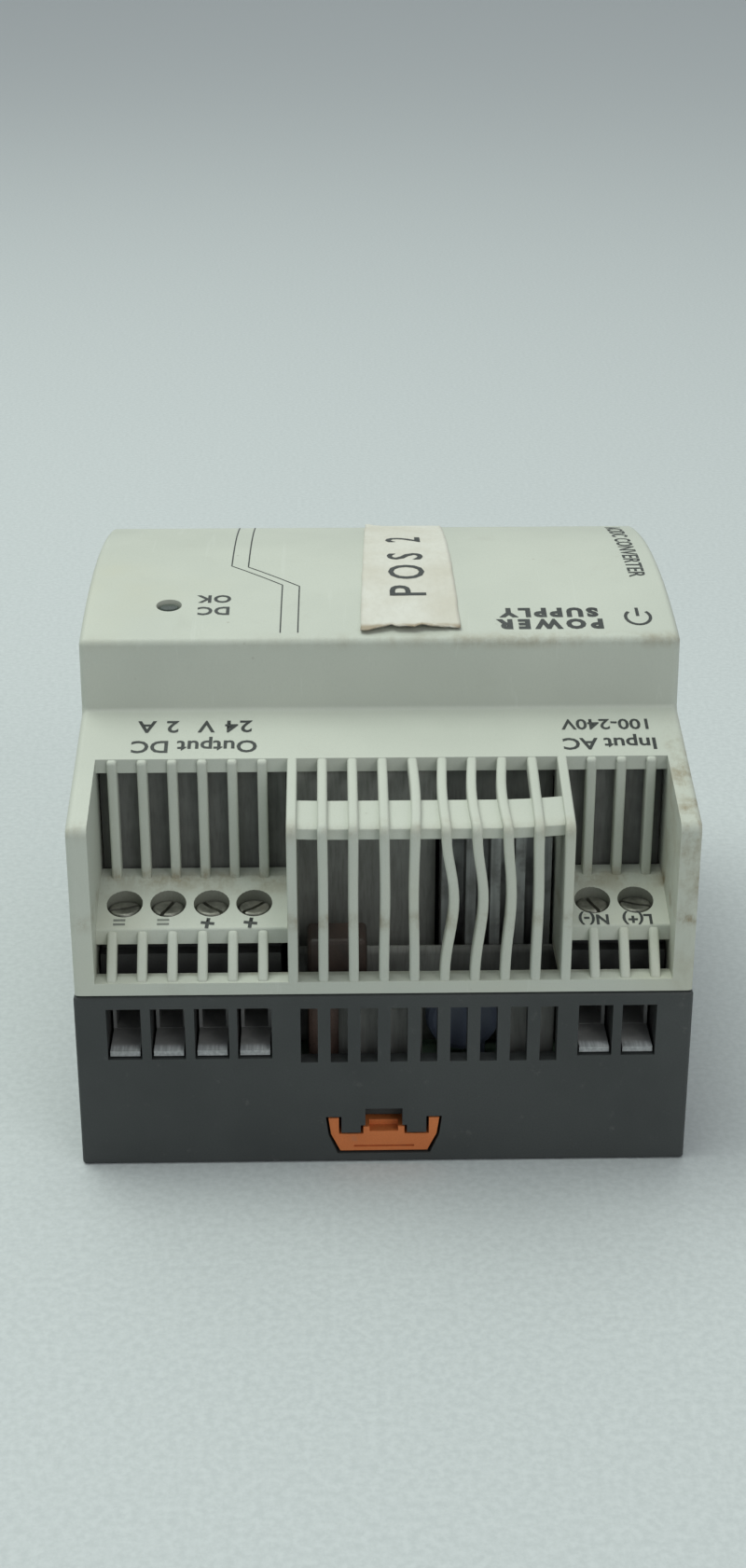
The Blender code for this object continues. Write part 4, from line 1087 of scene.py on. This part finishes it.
def build_prints():
    """The generic captions, marks and lines on the cover, and the position number on the sticker."""
    dark = []
    dark.append(lettering("DC", -20.0, near(29.2), 2.7, 180, on_dome, 0.07, 1.08))
    dark.append(lettering("OK", -20.0, near(32.3), 2.7, 180, on_dome, 0.07, 1.08))
    dark.append(lettering("Output DC", -22.0, near(15.0), 3.1, 180, on_shoulder, 0.06, 1.02))
    dark.append(lettering("24 V  2 A", -22.0, near(18.8), 3.1, 180, on_shoulder, 0.06, 1.12))
    dark.append(lettering("Input AC", 26.9, near(15.0), 3.0, 180, on_shoulder, 0.06, 1.0))
    dark.append(lettering("100-240V", 26.9, near(18.7), 2.75, 180, on_shoulder, 0.05, 1.0))
    dark.append(lettering("POWER", 20.6, near(25.6), 2.8, 180, on_dome, 0.17, 1.5))
    dark.append(lettering("SUPPLY", 20.6, near(28.3), 2.8, 180, on_dome, 0.17, 1.35))
    dark.append(lettering("AC/DC CONVERTER", 32.4, near(51.5), 2.9, -90, on_dome, 0.04, 1.02))
    symbol_x = 31.2
    ring = []
    for step in range(3, 22):
        turn = step * math.pi / 12
        ring.append((symbol_x + 1.5 * math.sin(turn), near(27.0) + 1.75 * math.cos(turn)))
    dark.append(ribbon(ring, 0.4, on_dome))
    dark.append(ribbon([(symbol_x, near(29.2)), (symbol_x, near(27.2))], 0.4, on_dome))
    for shift in (0.0, 2.1):
        jog = 0.2 * shift
        line = [(-11.9, near(23.9)), (-11.8, near(36.1) - jog), (-18.3, near(42.6) - jog)]
        line.append((-18.2, DOME_HALF - 0.6))
        dark.append(ribbon([(x + shift, y) for x, y in line], 0.16, on_dome))
    for x in POLES[2:4]:
        dark.append(lettering("+", x - 0.35, near(5.0), 3.0, 172, on_shelf, 0.09))
    dark.append(lettering("N(-)", POLES[4] - 0.1, near(4.95), 2.1, 180, on_shelf, 0.07))
    dark.append(lettering("L(+)", POLES[5] - 0.1, near(4.95), 2.1, 180, on_shelf, 0.07))
    ink = paint(join(dark, "front_print"), "ink")
    pale = []
    for x in POLES[:2]:
        cx = x - 0.45
        for row in (4.75, 5.4):
            pale.append(ribbon([(cx - 0.7, near(row)), (cx + 0.7, near(row))], 0.34, on_shelf))
    grey = paint(join(pale, "pale_print"), "pale_ink")

    def on_paper(_x, y):
        return dome_z(y) + 0.19

    label = paint(lettering("POS 2", 3.9, near(43.8), 6.4, 90, on_paper, 0.05, 1.55), "ink")
    label.name = "sticker_print"
    return ink, grey, label


# ------------------------------------------------------------------ put it together

cover_pieces = [build_shell(), build_ribs(), *build_walls(), build_bosses(), build_snaps()]
for piece in cover_pieces:
    # The second material is the painted shade on the screw holes' walls.
    paint(piece, "cover", "recess")
    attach(piece, "housing")
    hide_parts("front_cover")

for piece in build_housing():
    paint(piece, "housing")
    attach(piece, "housing")
    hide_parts("rear_housing")

foot = paint(build_foot(), "foot")
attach(foot, "foot")
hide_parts("rail_foot")

for number, pole in enumerate(POLES, start=1):
    screw = paint(build_screw(number, pole), "screw")
    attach(screw, f"screw_{number}")
    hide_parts(f"terminal_screw_{number}")

liner = paint(build_liners(), "liner")
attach(liner, "housing")
sticker = paint(build_sticker(), "paper")
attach(sticker, "housing")
for mark in build_prints():
    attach(mark, "housing")

CARRIED = {
    "foot_spring": "spring",
    "output_terminal_body": "terminal",
    "input_terminal_body": "terminal",
    "circuit_board": "board",
    "transformer_core": "ferrite",
    "transformer_winding": "tape",
    "line_choke_core": "ferrite",
    "line_choke_winding": "copper",
    "bulk_capacitor": "sleeve",
    "output_capacitor_1": "sleeve",
    "output_capacitor_2": "sleeve",
    "output_inductor": "copper",
    "suppression_capacitor": "blue",
    "varistor": "blue",
    "inrush_thermistor": "green",
    "film_capacitor": "brown",
    "line_capacitor": "yellow",
    "bridge_rectifier": "chip",
    "fuse": "ceramic",
    "control_chip": "chip",
    "optocoupler": "chip",
    "primary_heatsink": "heatsink",
    "switching_transistor": "chip",
    "secondary_heatsink": "heatsink",
    "output_rectifier": "chip",
    "status_led": "led",
    "light_guide": "guide",
}
for index in range(1, 5):
    CARRIED[f"board_screw_{index}"] = "screw"
for index in range(1, 7):
    CARRIED[f"clamp_cage_{index}"] = "cage"
    CARRIED[f"current_bar_{index}"] = "bar"
for node, key in CARRIED.items():
    paint(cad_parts[node], key)
EASED = {
    "output_terminal_body": 0.15,
    "input_terminal_body": 0.15,
    "primary_heatsink": 0.15,
    "secondary_heatsink": 0.15,
    "transformer_core": 0.2,
    "transformer_winding": 0.2,
    "line_capacitor": 0.3,
    "switching_transistor": 0.15,
    "output_rectifier": 0.15,
    "bridge_rectifier": 0.2,
}
for index in range(1, 7):
    EASED[f"clamp_cage_{index}"] = 0.06
    EASED[f"current_bar_{index}"] = 0.06
for node, width in EASED.items():
    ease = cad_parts[node].modifiers.new("eased_edges", "BEVEL")
    ease.width = width * MM
    ease.segments = 2
    ease.limit_method = "ANGLE"
    ease.angle_limit = math.radians(35)


# ------------------------------------------------------------------ floor, light and camera


def build_stage():
    """A wide pale floor under the object."""
    bm = bmesh.new()
    bmesh.ops.create_grid(bm, x_segments=2, y_segments=2, size=3.0)
    floor = new_object("floor", bm)
    s = Shader("pale_floor")
    grain = s.noise(1100, 5, 0.65)
    colour = s.mix(s.remap(grain, 0.3, 0.7), (0.50, 0.54, 0.545), (0.58, 0.62, 0.625))
    s.bump(grain, 0.08, 0.1)
    floor.data.materials.append(s.done(colour, s.remap(grain, 0.3, 0.7, 0.55, 0.75)))


def add_area(name, location, target, size, power, colour):
    light = bpy.data.lights.new(name, "AREA")
    light.shape = "RECTANGLE"
    light.size, light.size_y = size
    light.energy = power
    light.color = colour
    obj = bpy.data.objects.new(name, light)
    bpy.context.scene.collection.objects.link(obj)
    obj.location = location
    obj.rotation_mode = "QUATERNION"
    obj.rotation_quaternion = (Vector(target) - Vector(location)).to_track_quat("-Z", "Y")


def build_light():
    world = bpy.data.worlds.new("studio")
    world.use_nodes = True
    back = world.node_tree.nodes["Background"]
    back.inputs["Color"].default_value = (0.75, 0.79, 0.82, 1.0)
    back.inputs["Strength"].default_value = 0.46
    bpy.context.scene.world = world
    add_area("key", (-0.25, 0.12, 0.85), (0.0, 0.0, 0.03), (0.7, 0.7), 5.8, (0.935, 1.0, 0.925))
    add_area("sweep", (0.0, 1.7, 1.3), (0.0, 1.5, 0.0), (2.4, 1.6), 5.6, (0.93, 0.99, 0.97))
    add_area("fill", (0.5, -0.75, 0.45), (0.0, 0.0, 0.03), (0.6, 0.6), 1.9, (1.0, 1.0, 0.99))


def build_camera():
    data = bpy.data.cameras.new("camera")
    camera = bpy.data.objects.new("camera", data)
    bpy.context.scene.collection.objects.link(camera)
    camera.location = (-0.0057, -0.2709, 0.148)
    target = Vector((-0.0005, -0.004, 0.0315))
    camera.rotation_mode = "QUATERNION"
    camera.rotation_quaternion = (target - camera.location).to_track_quat("-Z", "Y")
    data.sensor_width = 36.0
    data.lens = 51.0
    data.clip_start = 0.01
    bpy.context.scene.camera = camera


build_stage()
build_light()
build_camera()
bpy.context.scene.view_settings.view_transform = "Standard"
